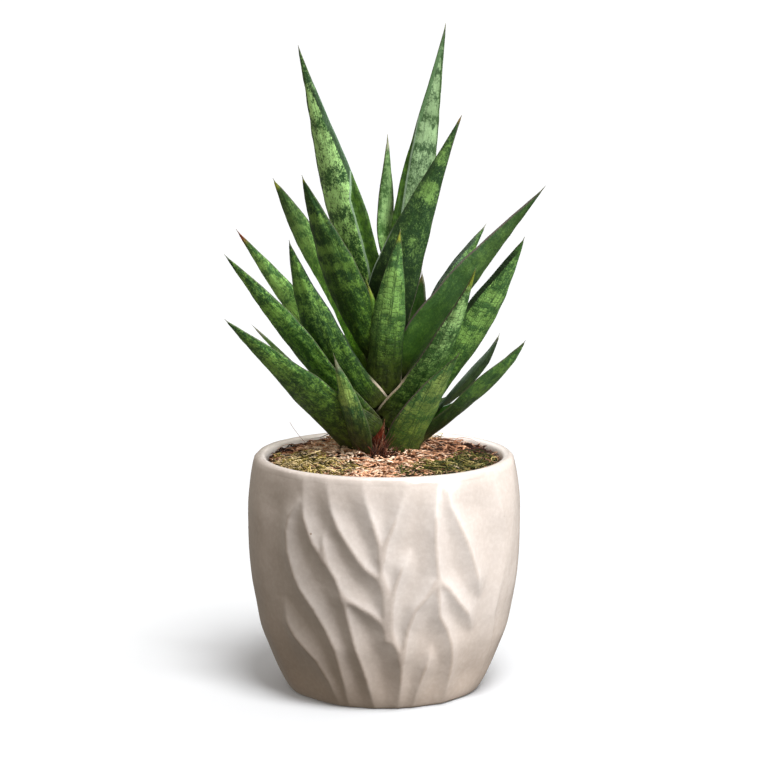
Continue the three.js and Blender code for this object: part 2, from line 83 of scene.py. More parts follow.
def circle(count: int) -> Array:
    """Even angles round a full circle, in radians."""
    return 2 * np.pi * np.arange(count) / count


def polar(azimuth: Array | float, radius: Array | float, height: Array | float) -> Array:
    """Points at (radius sin azimuth, -radius cos azimuth, height).

    Args:
        azimuth: Degrees from the front of the pot towards +X.
        radius: Distance from the pot's axis.
        height: Height above the foot.

    Returns:
        An array whose last axis holds x, y and z.
    """
    angle = np.radians(azimuth)
    x, y, z = np.broadcast_arrays(radius * np.sin(angle), -radius * np.cos(angle), height)
    return np.stack([x, y, z], axis=-1).astype(float)


def ripples(points: Array, wavelength: float, seed: int) -> Array:
    """Smooth noise of mean 0 and spread about 1: a sum of sine waves in random directions.

    Args:
        points: Places whose last axis is a position of any size.
        wavelength: The mean length of the waves, in the points' own unit.
        seed: The seed of the waves' directions, lengths and phases.

    Returns:
        One value for each place.
    """
    count = 14
    rng = np.random.default_rng(seed)
    directions = unit(rng.normal(size=(count, points.shape[-1])))
    frequencies = 2 * np.pi / (wavelength * rng.uniform(0.6, 1.7, count))
    phases = rng.uniform(0, 2 * np.pi, count)
    waves = np.sin(points @ (directions * frequencies[:, None]).T + phases)
    return waves.sum(axis=-1) * math.sqrt(2 / count)


# ---------------------------------------------------------------- meshes


@dataclass
class Surface:
    """A closed surface in millimetres, with values on its vertices.

    Attributes:
        points: The vertices.
        quads: Four vertex numbers for each four-sided face.
        triangles: Three vertex numbers for each three-sided face.
        values: Named numbers, one for each vertex.
        uv: Two numbers for each vertex, or None.
    """

    points: Array
    quads: Array
    triangles: Array
    values: dict[str, Array] = field(default_factory=dict)
    uv: Array | None = None

    def outward(self) -> Surface:
        """The surface with its faces turned outward.

        Six times the enclosed volume is the sum of a . (b x c) over all triangles a, b, c. Where it is
        negative, every face is turned round.

        Returns:
            The surface itself.
        """
        triangles = np.concatenate([self.quads[:, [0, 1, 2]], self.quads[:, [0, 2, 3]], self.triangles])
        a, b, c = np.moveaxis(self.points[triangles], 1, 0)
        if np.einsum("ij,ij->", a, np.cross(b, c)) < 0:
            self.quads = self.quads[:, ::-1]
            self.triangles = self.triangles[:, ::-1]
        return self


def tube_quads(rows: int, columns: int, joined: bool = False) -> Array:
    """The quads between neighbouring rings of points.

    Args:
        rows: How many rings there are.
        columns: How many points each ring has.
        joined: Whether the last ring is joined to the first.

    Returns:
        Four point numbers for each quad.
    """
    row = np.arange(rows if joined else rows - 1)[:, None]
    column = np.arange(columns)[None, :]
    here, beyond = row * columns, (row + 1) % rows * columns
    after = (column + 1) % columns
    corners = np.broadcast_arrays(here + column, here + after, beyond + after, beyond + column)
    return np.stack(corners, axis=-1).reshape(-1, 4)


def with_poles(rows: Array) -> Array:
    """The rows as one list, and after them the means of the first and of the last row."""
    return np.concatenate([rows.reshape(-1, rows.shape[-1]), rows[[0, -1]].mean(axis=1)])


def capped_tube(rings: Array, values: dict[str, Array], uv: Array | None = None) -> Surface:
    """A closed tube through rings of points, with each end closed by a fan to the ring's middle.

    Args:
        rings: Points as (stations, points round a ring, 3).
        values: Named numbers as (stations, points round a ring).
        uv: Two numbers as (stations, points round a ring, 2), or None.

    Returns:
        The closed surface, facing outward.
    """
    stations, around, _ = rings.shape
    turn = np.arange(around)
    after = (turn + 1) % around
    last = (stations - 1) * around
    pole = np.full(around, stations * around)
    first_fan = np.stack([after, turn, pole], axis=1)
    last_fan = np.stack([last + turn, last + after, pole + 1], axis=1)
    spread = {name: with_poles(numbers[..., None])[:, 0] for name, numbers in values.items()}
    flat = None if uv is None else with_poles(uv)
    fans = np.concatenate([first_fan, last_fan])
    return Surface(with_poles(rings), tube_quads(stations, around), fans, spread, flat).outward()


def swarm(rings: Array, tint: Array) -> Surface:
    """Many small closed tubes of one make in a single mesh.

    Args:
        rings: Points as (tubes, stations, points round a ring, 3).
        tint: A number for each tube, which picks its colour.

    Returns:
        The closed surfaces together, facing outward.
    """
    tubes, stations, around, _ = rings.shape
    size = stations * around
    starts = (np.arange(tubes) * size)[:, None, None]
    quads = (tube_quads(stations, around)[None] + starts).reshape(-1, 4)
    turn = np.arange(1, around - 1)
    last = size - around
    first_fan = np.stack([np.zeros_like(turn), turn + 1, turn], axis=1)
    last_fan = np.stack([np.full_like(turn, last), last + turn, last + turn + 1], axis=1)
    triangles = (np.concatenate([first_fan, last_fan])[None] + starts).reshape(-1, 3)
    return Surface(rings.reshape(-1, 3), quads, triangles, {"tint": np.repeat(tint, size)}).outward()


def show(name: str, data: bpy.types.ID) -> bpy.types.Object:
    """Puts a mesh, a light or a camera into the scene.

    Args:
        name: The new object's name.
        data: What it shows.

    Returns:
        The new object, at the origin.
    """
    thing = bpy.data.objects.new(name, data)
    bpy.context.scene.collection.objects.link(thing)
    return thing


def add_piece(
    name: str, surface: Surface, material: bpy.types.Material, replaces: Sequence[str] = ()
) -> None:
    """Puts a surface into the scene as one piece of the plant, riding on the one body.

    Args:
        name: The piece's name.
        surface: Its shape, in millimetres.
        material: Its finish.
        replaces: The CAD nodes that it stands for.
    """
    mesh = bpy.data.meshes.new(name)
    faces = surface.quads.tolist() + surface.triangles.tolist()
    mesh.from_pydata((surface.points * MM).tolist(), [], faces)
    mesh.polygons.foreach_set("use_smooth", np.ones(len(faces), dtype=bool))
    for key, numbers in surface.values.items():
        attribute = mesh.attributes.new(key, "FLOAT", "POINT")
        attribute.data.foreach_set("value", numbers.astype(np.float32))
    if surface.uv is not None:
        corners = np.empty(len(mesh.loops), dtype=np.int32)
        mesh.loops.foreach_get("vertex_index", corners)
        layer = mesh.uv_layers.new(name="blade")
        layer.data.foreach_set("uv", surface.uv[corners].astype(np.float32).reshape(-1))
    mesh.materials.append(material)
    mesh.update()
    piece = show(name, mesh)
    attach(piece, BODY)
    if replaces:
        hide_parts(*replaces)
    LOG.info("%s: %d faces", name, len(faces))


# ---------------------------------------------------------------- materials


class Graph:
    """A node tree, with short calls for the kinds of node that the finishes and the room use."""

    def __init__(self, tree: bpy.types.NodeTree) -> None:
        """Works on a tree that exists."""
        self.tree = tree

    def put(self, socket: Socket, value: object) -> None:
        """Links a socket to another, or sets its value.

        Args:
            socket: The input.
            value: An output, a number, or a colour without its alpha.
        """
        if isinstance(value, Socket):
            self.tree.links.new(value, socket)
        elif socket.type == "RGBA":
            socket.default_value = (*value, 1.0)
        else:
            socket.default_value = value

    def node(self, kind: str, inputs: dict[str | int, object], **settings: object) -> bpy.types.Node:
        """Adds a node.

        Args:
            kind: Its type, without the leading ShaderNode.
            inputs: An output or a value for each named or numbered input.
            settings: Its own properties.

        Returns:
            The node.
        """
        node = self.tree.nodes.new(f"ShaderNode{kind}")
        for name, setting in settings.items():
            setattr(node, name, setting)
        for key, value in inputs.items():
            self.put(node.inputs[key], value)
        return node

    def math(self, operation: str, a: object, b: object = 0.0) -> Socket:
        """An operation on one or two numbers."""
        return self.node("Math", {0: a, 1: b}, operation=operation).outputs[0]

    def add(self, first: object, *others: object) -> Socket:
        """The sum of some numbers."""
        return self.math("ADD", first, others[0] if len(others) == 1 else self.add(*others))

    def times(self, first: object, *others: object) -> Socket:
        """The product of some numbers."""
        return self.math("MULTIPLY", first, others[0] if len(others) == 1 else self.times(*others))

    def centred(self, value: Socket) -> Socket:
        """A number from 0 to 1, moved to lie about 0."""
        return self.math("SUBTRACT", value, 0.5)

    def step(self, value: object, low: float, high: float, out: Pair = (0.0, 1.0)) -> Socket:
        """A smooth step of a number from low to high, onto the two numbers of out."""
        ends = {"Value": value, "From Min": low, "From Max": high, "To Min": out[0], "To Max": out[1]}
        return self.node("MapRange", ends, interpolation_type="SMOOTHSTEP").outputs["Result"]

    def mix(self, share: object, a: object, b: object, blend: str = "MIX") -> Socket:
        """A blend of two colours."""
        return self.node("Mix", {0: share, 6: a, 7: b}, data_type="RGBA", blend_type=blend).outputs[2]

    def tinted(self, colour: object, tint: object) -> Socket:
        """A colour times another."""
        return self.mix(1.0, colour, tint, "MULTIPLY")

    def ramp(self, value: object, stops: Sequence[tuple[float, Colour]], ease: str = "EASE") -> Socket:
        """A colour ramp.

        Args:
            value: The number that it is read at.
            stops: Its places and their colours.
            ease: How it runs between them.

        Returns:
            The colour.
        """
        node = self.node("ValToRGB", {"Fac": value})
        node.color_ramp.interpolation = ease
        elements = node.color_ramp.elements
        while len(elements) < len(stops):
            elements.new(1.0)
        for element, (place, colour) in zip(elements, stops):
            element.position = place
            element.color = (*colour, 1.0)
        return node.outputs["Color"]

    def value(self, name: str) -> Socket:
        """One of the mesh's own named numbers."""
        return self.node("Attribute", {}, attribute_name=name).outputs["Fac"]

    def sheet(self) -> Socket:
        """The blade's own map: mm across from its middle line, and mm along from its root."""
        return self.node("UVMap", {}, uv_map="blade").outputs["UV"]

    def place(self, kind: str = "Object") -> Socket:
        """The Object coordinates, in metres, or the room's directions where kind is Generated."""
        return self.node("TexCoord", {}).outputs[kind]

    def combine(self, x: object, y: object, z: object) -> Socket:
        """A vector of three numbers."""
        return self.node("CombineXYZ", {0: x, 1: y, 2: z}).outputs[0]

    def split(self, vector: Socket) -> tuple[Socket, ...]:
        """The three numbers of a vector."""
        return tuple(self.node("SeparateXYZ", {0: vector}).outputs)

    def noise(self, vector: Socket, scale: float, detail: float = 2.0, rough: float = 0.5) -> Socket:
        """Fractal noise, about 0.5 in the mean."""
        sizes = {"Vector": vector, "Scale": scale, "Detail": detail, "Roughness": rough}
        return self.node("TexNoise", sizes).outputs["Fac"]

    def dots(self, vector: Socket, scale: float) -> Socket:
        """The distance to the nearest of many scattered points."""
        return self.node("TexVoronoi", {"Vector": vector, "Scale": scale}).outputs["Distance"]

    def bricks(self, vector: Socket, length: float, breadth: float, gap: float) -> tuple[Socket, Socket]:
        """A wall of cells in rows.

        Args:
            vector: Where the wall is read: x along its rows, y across them.
            length: A cell's length along the row.
            breadth: A row's breadth.
            gap: The width of the lines between the cells.

        Returns:
            A random grey for each cell, and 1 on the lines between them.
        """
        sizes = {"Scale": 1.0, "Brick Width": length, "Row Height": breadth}
        lines = {"Mortar Size": gap, "Mortar Smooth": 1.0, "Bias": 0.0}
        greys = {"Color1": (0.0, 0.0, 0.0), "Color2": (1.0, 1.0, 1.0), "Mortar": (0.4, 0.4, 0.4)}
        node = self.node("TexBrick", {"Vector": vector, **sizes, **lines, **greys})
        return node.outputs["Color"], node.outputs["Fac"]

    def bump(self, height: Socket, depth: float, strength: float) -> Socket:
        """The normal of a surface that a height raises, by depth metres for a height of 1."""
        return self.node("Bump", {"Height": height, "Distance": depth, "Strength": strength}).outputs[0]


class Skin(Graph):
    """The graph of one material, with a Principled shader on its output."""

    def __init__(self, name: str) -> None:
        """Starts the material.

        Args:
            name: Its name.
        """
        self.material = bpy.data.materials.new(name)
        self.material.use_nodes = True
        super().__init__(self.material.node_tree)
        self.tree.nodes.clear()
        self.shader = self.node("BsdfPrincipled", {})
        self.node("OutputMaterial", {"Surface": self.shader.outputs["BSDF"]})

    def dress(
        self, colour: Socket, roughness: object, gleam: float, normal: Socket | None = None, ior: float = 1.5
    ) -> bpy.types.Material:
        """Sets the shader's own sockets.

        Args:
            colour: Its colour.
            roughness: Its roughness.
            gleam: The level of its reflections, 0.5 on most smooth things.
            normal: The normal of its raised surface, or None for a flat one.
            ior: Its refractive index.

        Returns:
            The finished material.
        """
        sockets = {"Base Color": colour, "Roughness": roughness, "Specular IOR Level": gleam, "IOR": ior}
        if normal is not None:
            sockets["Normal"] = normal
        for name, value in sockets.items():
            self.put(self.shader.inputs[name], value)
        return self.material


@dataclass(frozen=True)
class GlazeFinish:
    """The pot's glossy cream glaze: warmer in the scoops, paler where it runs thin on the crests, darker at
    the foot by painted shade.
    """

    hollow: Colour = (0.50, 0.438, 0.382)
    crest: Colour = (0.54, 0.487, 0.437)
    # inside: the inner wall's paler glaze, lifted further as painted light where the rim and the leaves shade
    # it
    inside: Colour = (0.95, 0.88, 0.80)
    milky: Colour = (0.80, 0.76, 0.70)
    speck: Colour = (0.20, 0.13, 0.08)
    biscuit: Colour = (0.50, 0.40, 0.30)
    thin_line: Colour = (0.36, 0.27, 0.20)
    # painted shade: a darker, warmer tint towards the foot, for the light that falls off there, up to this
    # height in metres
    painted_foot_shade: Colour = (0.93, 0.87, 0.81)
    painted_shade_height: float = 0.065
    gloss: Pair = (0.13, 0.24)
    foot_roughness: float = 0.6
    ior: float = 1.52

    def material(self) -> bpy.types.Material:
        """The glaze: a colour by the wall's relief, browner on the very crests, with clouds and iron specks,
        painted shade that darkens and warms it towards the foot, and an inside wall painted paler, partly as
        painted light.

        Returns:
            The material.
        """
        g = Skin("cream_glaze")
        place, crest, foot = g.place(), g.value("crest"), g.value("foot")
        fine = g.noise(place, 420, 3, 0.6)
        thin = g.add(crest, g.times(g.centred(g.noise(place, 38, 4, 0.6)), 0.9))
        colour = g.mix(g.step(thin, 0.0, 1.0), self.hollow, self.crest)
        colour = g.mix(g.step(crest, 0.80, 0.96, (0.0, 0.30)), colour, self.thin_line)
        # the inner wall: paler glaze and painted light together
        colour = g.mix(g.value("inside"), colour, self.inside)
        colour = g.mix(g.step(fine, 0.35, 0.75, (0.0, 0.14)), colour, self.milky)
        dots = g.step(g.dots(place, 95), 0.075, 0.03)
        rare = g.step(g.noise(place, 60, 0), 0.60, 0.68)
        colour = g.mix(g.times(dots, rare, 0.8), colour, self.speck)
        colour = g.mix(foot, colour, self.biscuit)
        # painted shade towards the foot
        low = g.step(g.split(place)[2], 0.0, self.painted_shade_height)
        colour = g.tinted(colour, g.mix(low, self.painted_foot_shade, (1.0, 1.0, 1.0)))
        gloss = g.step(g.noise(place, 90, 3), 0.3, 0.75, self.gloss)
        roughness = g.add(gloss, g.times(foot, self.foot_roughness))
        orange_peel = g.add(g.noise(place, 150, 2, 0.4), g.times(fine, 0.10))
        return g.dress(colour, roughness, 0.5, g.bump(orange_peel, 0.0005, 0.55), self.ior)


@dataclass(frozen=True)
class GroundFinish:
    """A matt, crumbly finish for the potting mix, the stem and the bed under the chips."""

    name: str
    dark: Colour
    light: Colour
    grain: float = 700.0

    def material(self) -> bpy.types.Material:
        """Dark and light crumbs by noise at two scales, with a rough raised skin.

        Returns:
            The material.
        """
        g = Skin(self.name)
        place = g.place()
        crumbs = g.noise(place, self.grain, 4, 0.7)
        share = g.add(g.times(crumbs, 0.7), g.times(g.noise(place, 70, 3, 0.6), 0.3))
        colour = g.mix(g.step(share, 0.38, 0.66), self.dark, self.light)
        return g.dress(colour, 0.95, 0.2, g.bump(crumbs, 0.0012, 0.9))


@dataclass(frozen=True)
class StrawFinish:
    """A finish for many small fibres, chips or strands: each takes its own colour from a ramp."""

    name: str
    colours: tuple[Colour, ...]

    def material(self) -> bpy.types.Material:
        """The ramp is read at each strand's own `tint`, and noise darkens it here and there.

        Returns:
            The material.
        """
        g = Skin(self.name)
        stops = list(zip(np.linspace(0, 1, len(self.colours)).tolist(), self.colours))
        colour = g.ramp(g.value("tint"), stops, "LINEAR")
        grain = g.noise(g.place(), 900, 3, 0.6)
        colour = g.mix(g.step(grain, 0.62, 0.36, (0.0, 0.55)), colour, self.colours[0])
        return g.dress(colour, 0.85, 0.3, g.bump(grain, 0.0003, 0.7))


@dataclass(frozen=True)
class ScaleFinish:
    """Dry, papery scale skin: brown red, with fine lengthwise fibres and a pale frayed top."""

    foot: Colour = (0.022, 0.010, 0.006)
    middle: Colour = (0.070, 0.020, 0.010)
    top: Colour = (0.24, 0.040, 0.016)
    frayed: Colour = (0.34, 0.17, 0.09)

    def material(self) -> bpy.types.Material:
        """Colour by the share of the length, cut by stretched noise along the fibres.

        Returns:
            The material.
        """
        g = Skin("dry_scale_skin")
        across, along, _ = g.split(g.sheet())
        fibres = g.noise(g.combine(g.times(across, 2.6), g.times(along, 0.25), 0.0), 1.0, 4, 0.65)
        share = g.add(g.value("share"), g.times(g.centred(fibres), 0.5))
        colour = g.ramp(share, [(0.0, self.foot), (0.40, self.middle), (0.70, self.top), (1.0, self.frayed)])
        colour = g.mix(g.step(fibres, 0.56, 0.40, (0.0, 0.8)), colour, self.foot)
        return g.dress(colour, 0.85, 0.1, g.bump(fibres, 0.0004, 0.8))


class TipColour(Enum):
    """The colour of a leaf's dry, awl-shaped point."""

    WHITISH = (0.42, 0.44, 0.28)
    YELLOW = (0.42, 0.47, 0.05)
    LIME = (0.30, 0.38, 0.04)
    ORANGE = (0.45, 0.27, 0.06)
    RED = (0.46, 0.075, 0.03)
    OLIVE = (0.16, 0.13, 0.04)


class Ground(Enum):
    """The green between a leaf's markings."""

    DEEP = (0.018, 0.050, 0.016)
    FOREST = (0.036, 0.090, 0.026)
    LEAF = (0.058, 0.135, 0.034)
    FRESH = (0.075, 0.165, 0.018)


class Marking(Enum):
    """The green of a leaf's pale markings."""

    SILVER = (0.36, 0.53, 0.26)
    JADE = (0.27, 0.44, 0.16)
    GREEN = (0.19, 0.34, 0.085)
    MOSS = (0.14, 0.26, 0.055)
    OLIVE = (0.17, 0.24, 0.06)


class Side(Enum):
    """A side of a blade, as its outer face is seen with the tip up."""

    LEFT = -1
    RIGHT = 1


@dataclass(frozen=True)
class Rim:
    """A pale, dry or dark line along one margin, or a strip of painted shade.

    Attributes:
        side: The margin it follows.
        start: The share of the blade's length where it begins.
        end: The share where it ends.
        width: Its width in mm.
        colour: Its colour.
        inset: How far inside the margin it runs, in mm.
    """

    side: Side
    start: float
    end: float
    width: float
    colour: Colour
    inset: float = 0.0


class LeafSkin(Skin):
    """The graph of one leaf's skin, with the places on its blade and the noises that its markings share."""

    def __init__(self, name: str, seed: float) -> None:
        """Starts the material and its noises.

        Args:
            name: The material's name.
            seed: A number that moves the noises, so that no two leaves are alike.
        """
        super().__init__(name)
        self.seed = seed
        self.across, self.along, _ = self.split(self.sheet())
        self.from_tip, self.margin, self.share = map(self.value, ("from_tip", "margin", "share"))
        self.blotch = self.field(0.34, 0.24, 0.0, 3)
        self.speck = self.field(1.15, 0.75, 13.0)
        self.grain = self.field(3.1, 2.0, 19.0, 1)
        self.streak = self.field(1.6, 0.16, 7.0)
        self.rough = self.add(self.streak, self.speck)

    def field(self, across: float, along: float, shift: float, detail: float = 2.0) -> Socket:
        """Noise of mean 0 on the blade, with its scales per mm across and along."""
        x, y = self.times(self.across, across), self.times(self.along, along)
        return self.centred(self.noise(self.combine(x, y, self.seed + shift), 1.0, detail, 0.6))

    def cell_wall(self) -> tuple[Socket, Socket]:
        """Brick-shaped cells of about 3 by 4 mm, in wobbling rows along the leaf.

        Returns:
            A random grey for each cell, and 1 on the lines between them.
        """
        wobble = self.times(self.field(0.42, 0.30, 51.0), 0.15)
        x, y = (self.add(self.times(way, 0.05), wobble) for way in (self.along, self.across))
        return self.bricks(self.combine(x, y, 0.0), 0.14, 0.205, 0.022)


@dataclass(frozen=True)
class LeafFinish:
    """How one leaf is marked. Bands are (start, end, strength), in mm down from the tip.

    Attributes:
        bands: The pale cross-bands.
        mottle: How pale the leaf is between its bands, from 0 to 1.
        ground: The green between the markings.
        marking: The green of the markings.
        speckle: How strongly noise breaks up the markings.
        cells: How strongly dark lines cut the markings into cells, from 0 to 1.
        tip: The colour of its point.
        tip_length: The length of its coloured point, in mm.
        olive: The share of its length, from the root, that turns olive brown.
        rims: The lines along its margins.
        light: Painted light and shade on its greens: how much they are brightened or darkened at its root and
            at its tip.
        inner_shade: How strongly painted shade darkens its inner face, from 0 to 1.
    """

    bands: tuple[Triple, ...] = ()
    mottle: float = 0.35
    ground: Ground = Ground.FOREST
    marking: Marking = Marking.GREEN
    speckle: float = 1.0
    cells: float = 0.25
    tip: TipColour = TipColour.WHITISH
    tip_length: float = 2.5
    olive: float = 0.16
    rims: tuple[Rim, ...] = ()
    light: Pair = (1.0, 1.0)
    inner_shade: float = 0.72

    def band_stops(self, length: float) -> list[tuple[float, Colour]]:
        """The cross-bands as a ramp over the share of the length from the tip.

        Args:
            length: The leaf's length in mm.

        Returns:
            Stops that go up to each band's strength as a grey, and back to black, with soft edges.
        """
        soft = 1.8
        black = (0.0, 0.0, 0.0)
        stops = [(0.0, black)]
        for start, end, strength in self.bands:
            grey = (strength, strength, strength)
            middle = (start + end) / 2
            stops += [
                (max(stops[-1][0], (start - soft) / length), black),
                (min(start + soft, middle) / length, grey),
                (max(end - soft, middle) / length, grey),
                ((end + soft) / length, black),
            ]
        return stops

    def markings(self, g: LeafSkin, length: float, cell: Socket) -> Socket:
        """The cross-bands and the mottle between them.

        The bands' ramp is read at a distance from the tip that noise moves. Noise of three sizes and the
        cells break it up, and it is weaker towards the margins.

        Args:
            g: The leaf's graph.
            length: The leaf's length in mm.
            cell: A grey for each cell.

        Returns:
            The colour.
        """
        shift = g.add(g.times(g.field(0.11, 0.05, 3.0), 8.0), g.times(g.blotch, 7.0), g.times(g.streak, 5.0))
        band = g.ramp(g.math("DIVIDE", g.add(g.from_tip, shift), length), self.band_stops(length))
        level = g.add(g.times(band, 0.66), 0.42 * self.mottle)
        level = g.times(level, g.step(g.margin, 0.4, 4.2, (0.30, 1.0)))
        broken = g.add(g.times(g.blotch, 2.6), g.times(g.speck, 2.1), g.times(g.grain, 1.2))
        level = g.add(level, g.times(broken, 0.62 * self.speckle))
        level = g.add(level, g.times(g.centred(cell), 0.5 * self.cells))
        colour = g.mix(g.step(level, -0.06, 0.84), self.ground.value, self.marking.value)
        cloud = g.step(g.field(0.10, 0.045, 23.0), -0.12, 0.16, (0.0, 0.30))
        colour = g.mix(cloud, colour, (0.030, 0.080, 0.008))
        flecks = g.times(g.step(g.grain, 0.10, 0.22), 0.16 * self.speckle)
        return g.mix(flecks, colour, self.marking.value)

    def dark_lines(self, g: LeafSkin, mesh: Socket) -> Socket:
        """Dark lines along the leaf, and the short ones across that close the cells.

        Args:
            g: The leaf's graph.
            mesh: The lines between the cells.

        Returns:
            How dark the lines are.
        """
        rib = g.math("ABSOLUTE", g.field(0.55, 0.010, 41.0, 1))
        line = g.times(g.step(rib, 0.026, 0.006), 0.25 + 0.6 * self.cells)
        line = g.math("MAXIMUM", line, g.times(mesh, 0.85 * self.cells))
        return g.times(line, g.step(g.rough, -0.22, 0.02))

    def ends(self, g: LeafSkin, colour: Socket) -> Socket:
        """The leaf's painted light and shade, its inner face darkened by painted shade, its olive foot and
        its dry point.

        Args:
            g: The leaf's graph.
            colour: The colour so far.

        Returns:
            The colour with them.
        """
        # painted light and shade: the greens are brightened or darkened along the leaf by its light pair
        colour = g.tinted(colour, g.step(g.share, 0.12, 0.78, self.light))
        colour = g.tinted(colour, g.mix(g.step(g.share, 0.05, 0.65), (0.92, 1.0, 0.46), (0.97, 1.0, 0.96)))
        # painted shade on the inner face
        colour = g.mix(g.times(g.value("inner"), self.inner_shade), colour, (0.022, 0.075, 0.004))
        foot = g.mix(g.step(g.blotch, -0.12, 0.12), (0.016, 0.018, 0.003), (0.050, 0.066, 0.008))
        colour = g.mix(g.times(g.step(g.share, self.olive, 0.02), 0.9), colour, foot)
        reach = g.add(g.from_tip, g.times(g.streak, 3.0))
        colour = g.mix(g.step(reach, self.tip_length * 1.6, self.tip_length * 0.6), colour, self.tip.value)
        return g.mix(g.step(g.from_tip, 2.2, 0.3, (0.0, 0.6)), colour, (0.52, 0.50, 0.40))

    def margins(self, g: LeafSkin, colour: Socket) -> Socket:
        """A thin dark line along both margins, then this leaf's own pale, dry or dark rims, some of them
        strips of painted shade.

        Args:
            g: The leaf's graph.
            colour: The colour so far.

        Returns:
            The colour with them.
        """
        uneven = g.add(g.margin, g.times(g.speck, 0.8))
        colour = g.mix(g.step(uneven, 0.62, 0.25, (0.0, 0.7)), colour, (0.050, 0.050, 0.022))
        for rim in self.rims:
            inside = g.step(g.times(g.across, float(rim.side.value)), 0.0, 0.02)
            starts = g.step(g.share, rim.start - 0.03, rim.start + 0.03)
            ends = g.step(g.share, rim.end + 0.05, rim.end - 0.05)
            off = g.math("ABSOLUTE", g.math("SUBTRACT", uneven, rim.inset))
            near = g.step(off, rim.width + 0.25, rim.width - 0.2)
            colour = g.mix(g.times(inside, starts, ends, near), colour, rim.colour)
        return colour

    def far_half(self, g: LeafSkin, colour: Socket) -> Socket:
        """Where a folded leaf's far half shows beyond its near margin, painted dark as the shade on its inner
        face, and the pale crease between them.

        Args:
            g: The leaf's graph.
            colour: The colour so far.

        Returns:
            The colour with them.
        """
        beyond = g.value("beyond")
        # painted shade: the far half's inner face, in the fold's shadow
        shaded_far_face = g.mix(g.step(g.blotch, -0.1, 0.15), (0.020, 0.060, 0.005), (0.055, 0.130, 0.010))
        colour = g.mix(g.step(beyond, 0.1, 0.4), colour, shaded_far_face)
        crease = g.times(g.step(beyond, -0.75, -0.35), g.step(beyond, 0.35, 0.05), 0.9)
        return g.mix(crease, colour, (0.22, 0.31, 0.20))

    def material(self, name: str, length: float, seed: float) -> bpy.types.Material:
        """The leaf's skin, put on from its ground up to its margins.

        Args:
            name: The material's name.
            length: The leaf's length in mm.
            seed: The number that moves its noises.

        Returns:
            The material.
        """
        g = LeafSkin(name, seed)
        cell, mesh = g.cell_wall()
        line = self.dark_lines(g, mesh)
        darkest = tuple(0.45 * v for v in self.ground.value)
        colour = g.mix(line, self.markings(g, length, cell), darkest)
        colour = self.far_half(g, self.margins(g, self.ends(g, colour)))
        roughness = g.step(g.rough, -0.2, 0.2, (0.42, 0.58))
        relief = g.math("SUBTRACT", g.times(g.rough, 0.9), g.times(line, 0.7))
        return g.dress(colour, roughness, 0.24, g.bump(relief, 0.0004, 0.8))


# ---------------------------------------------------------------- pot


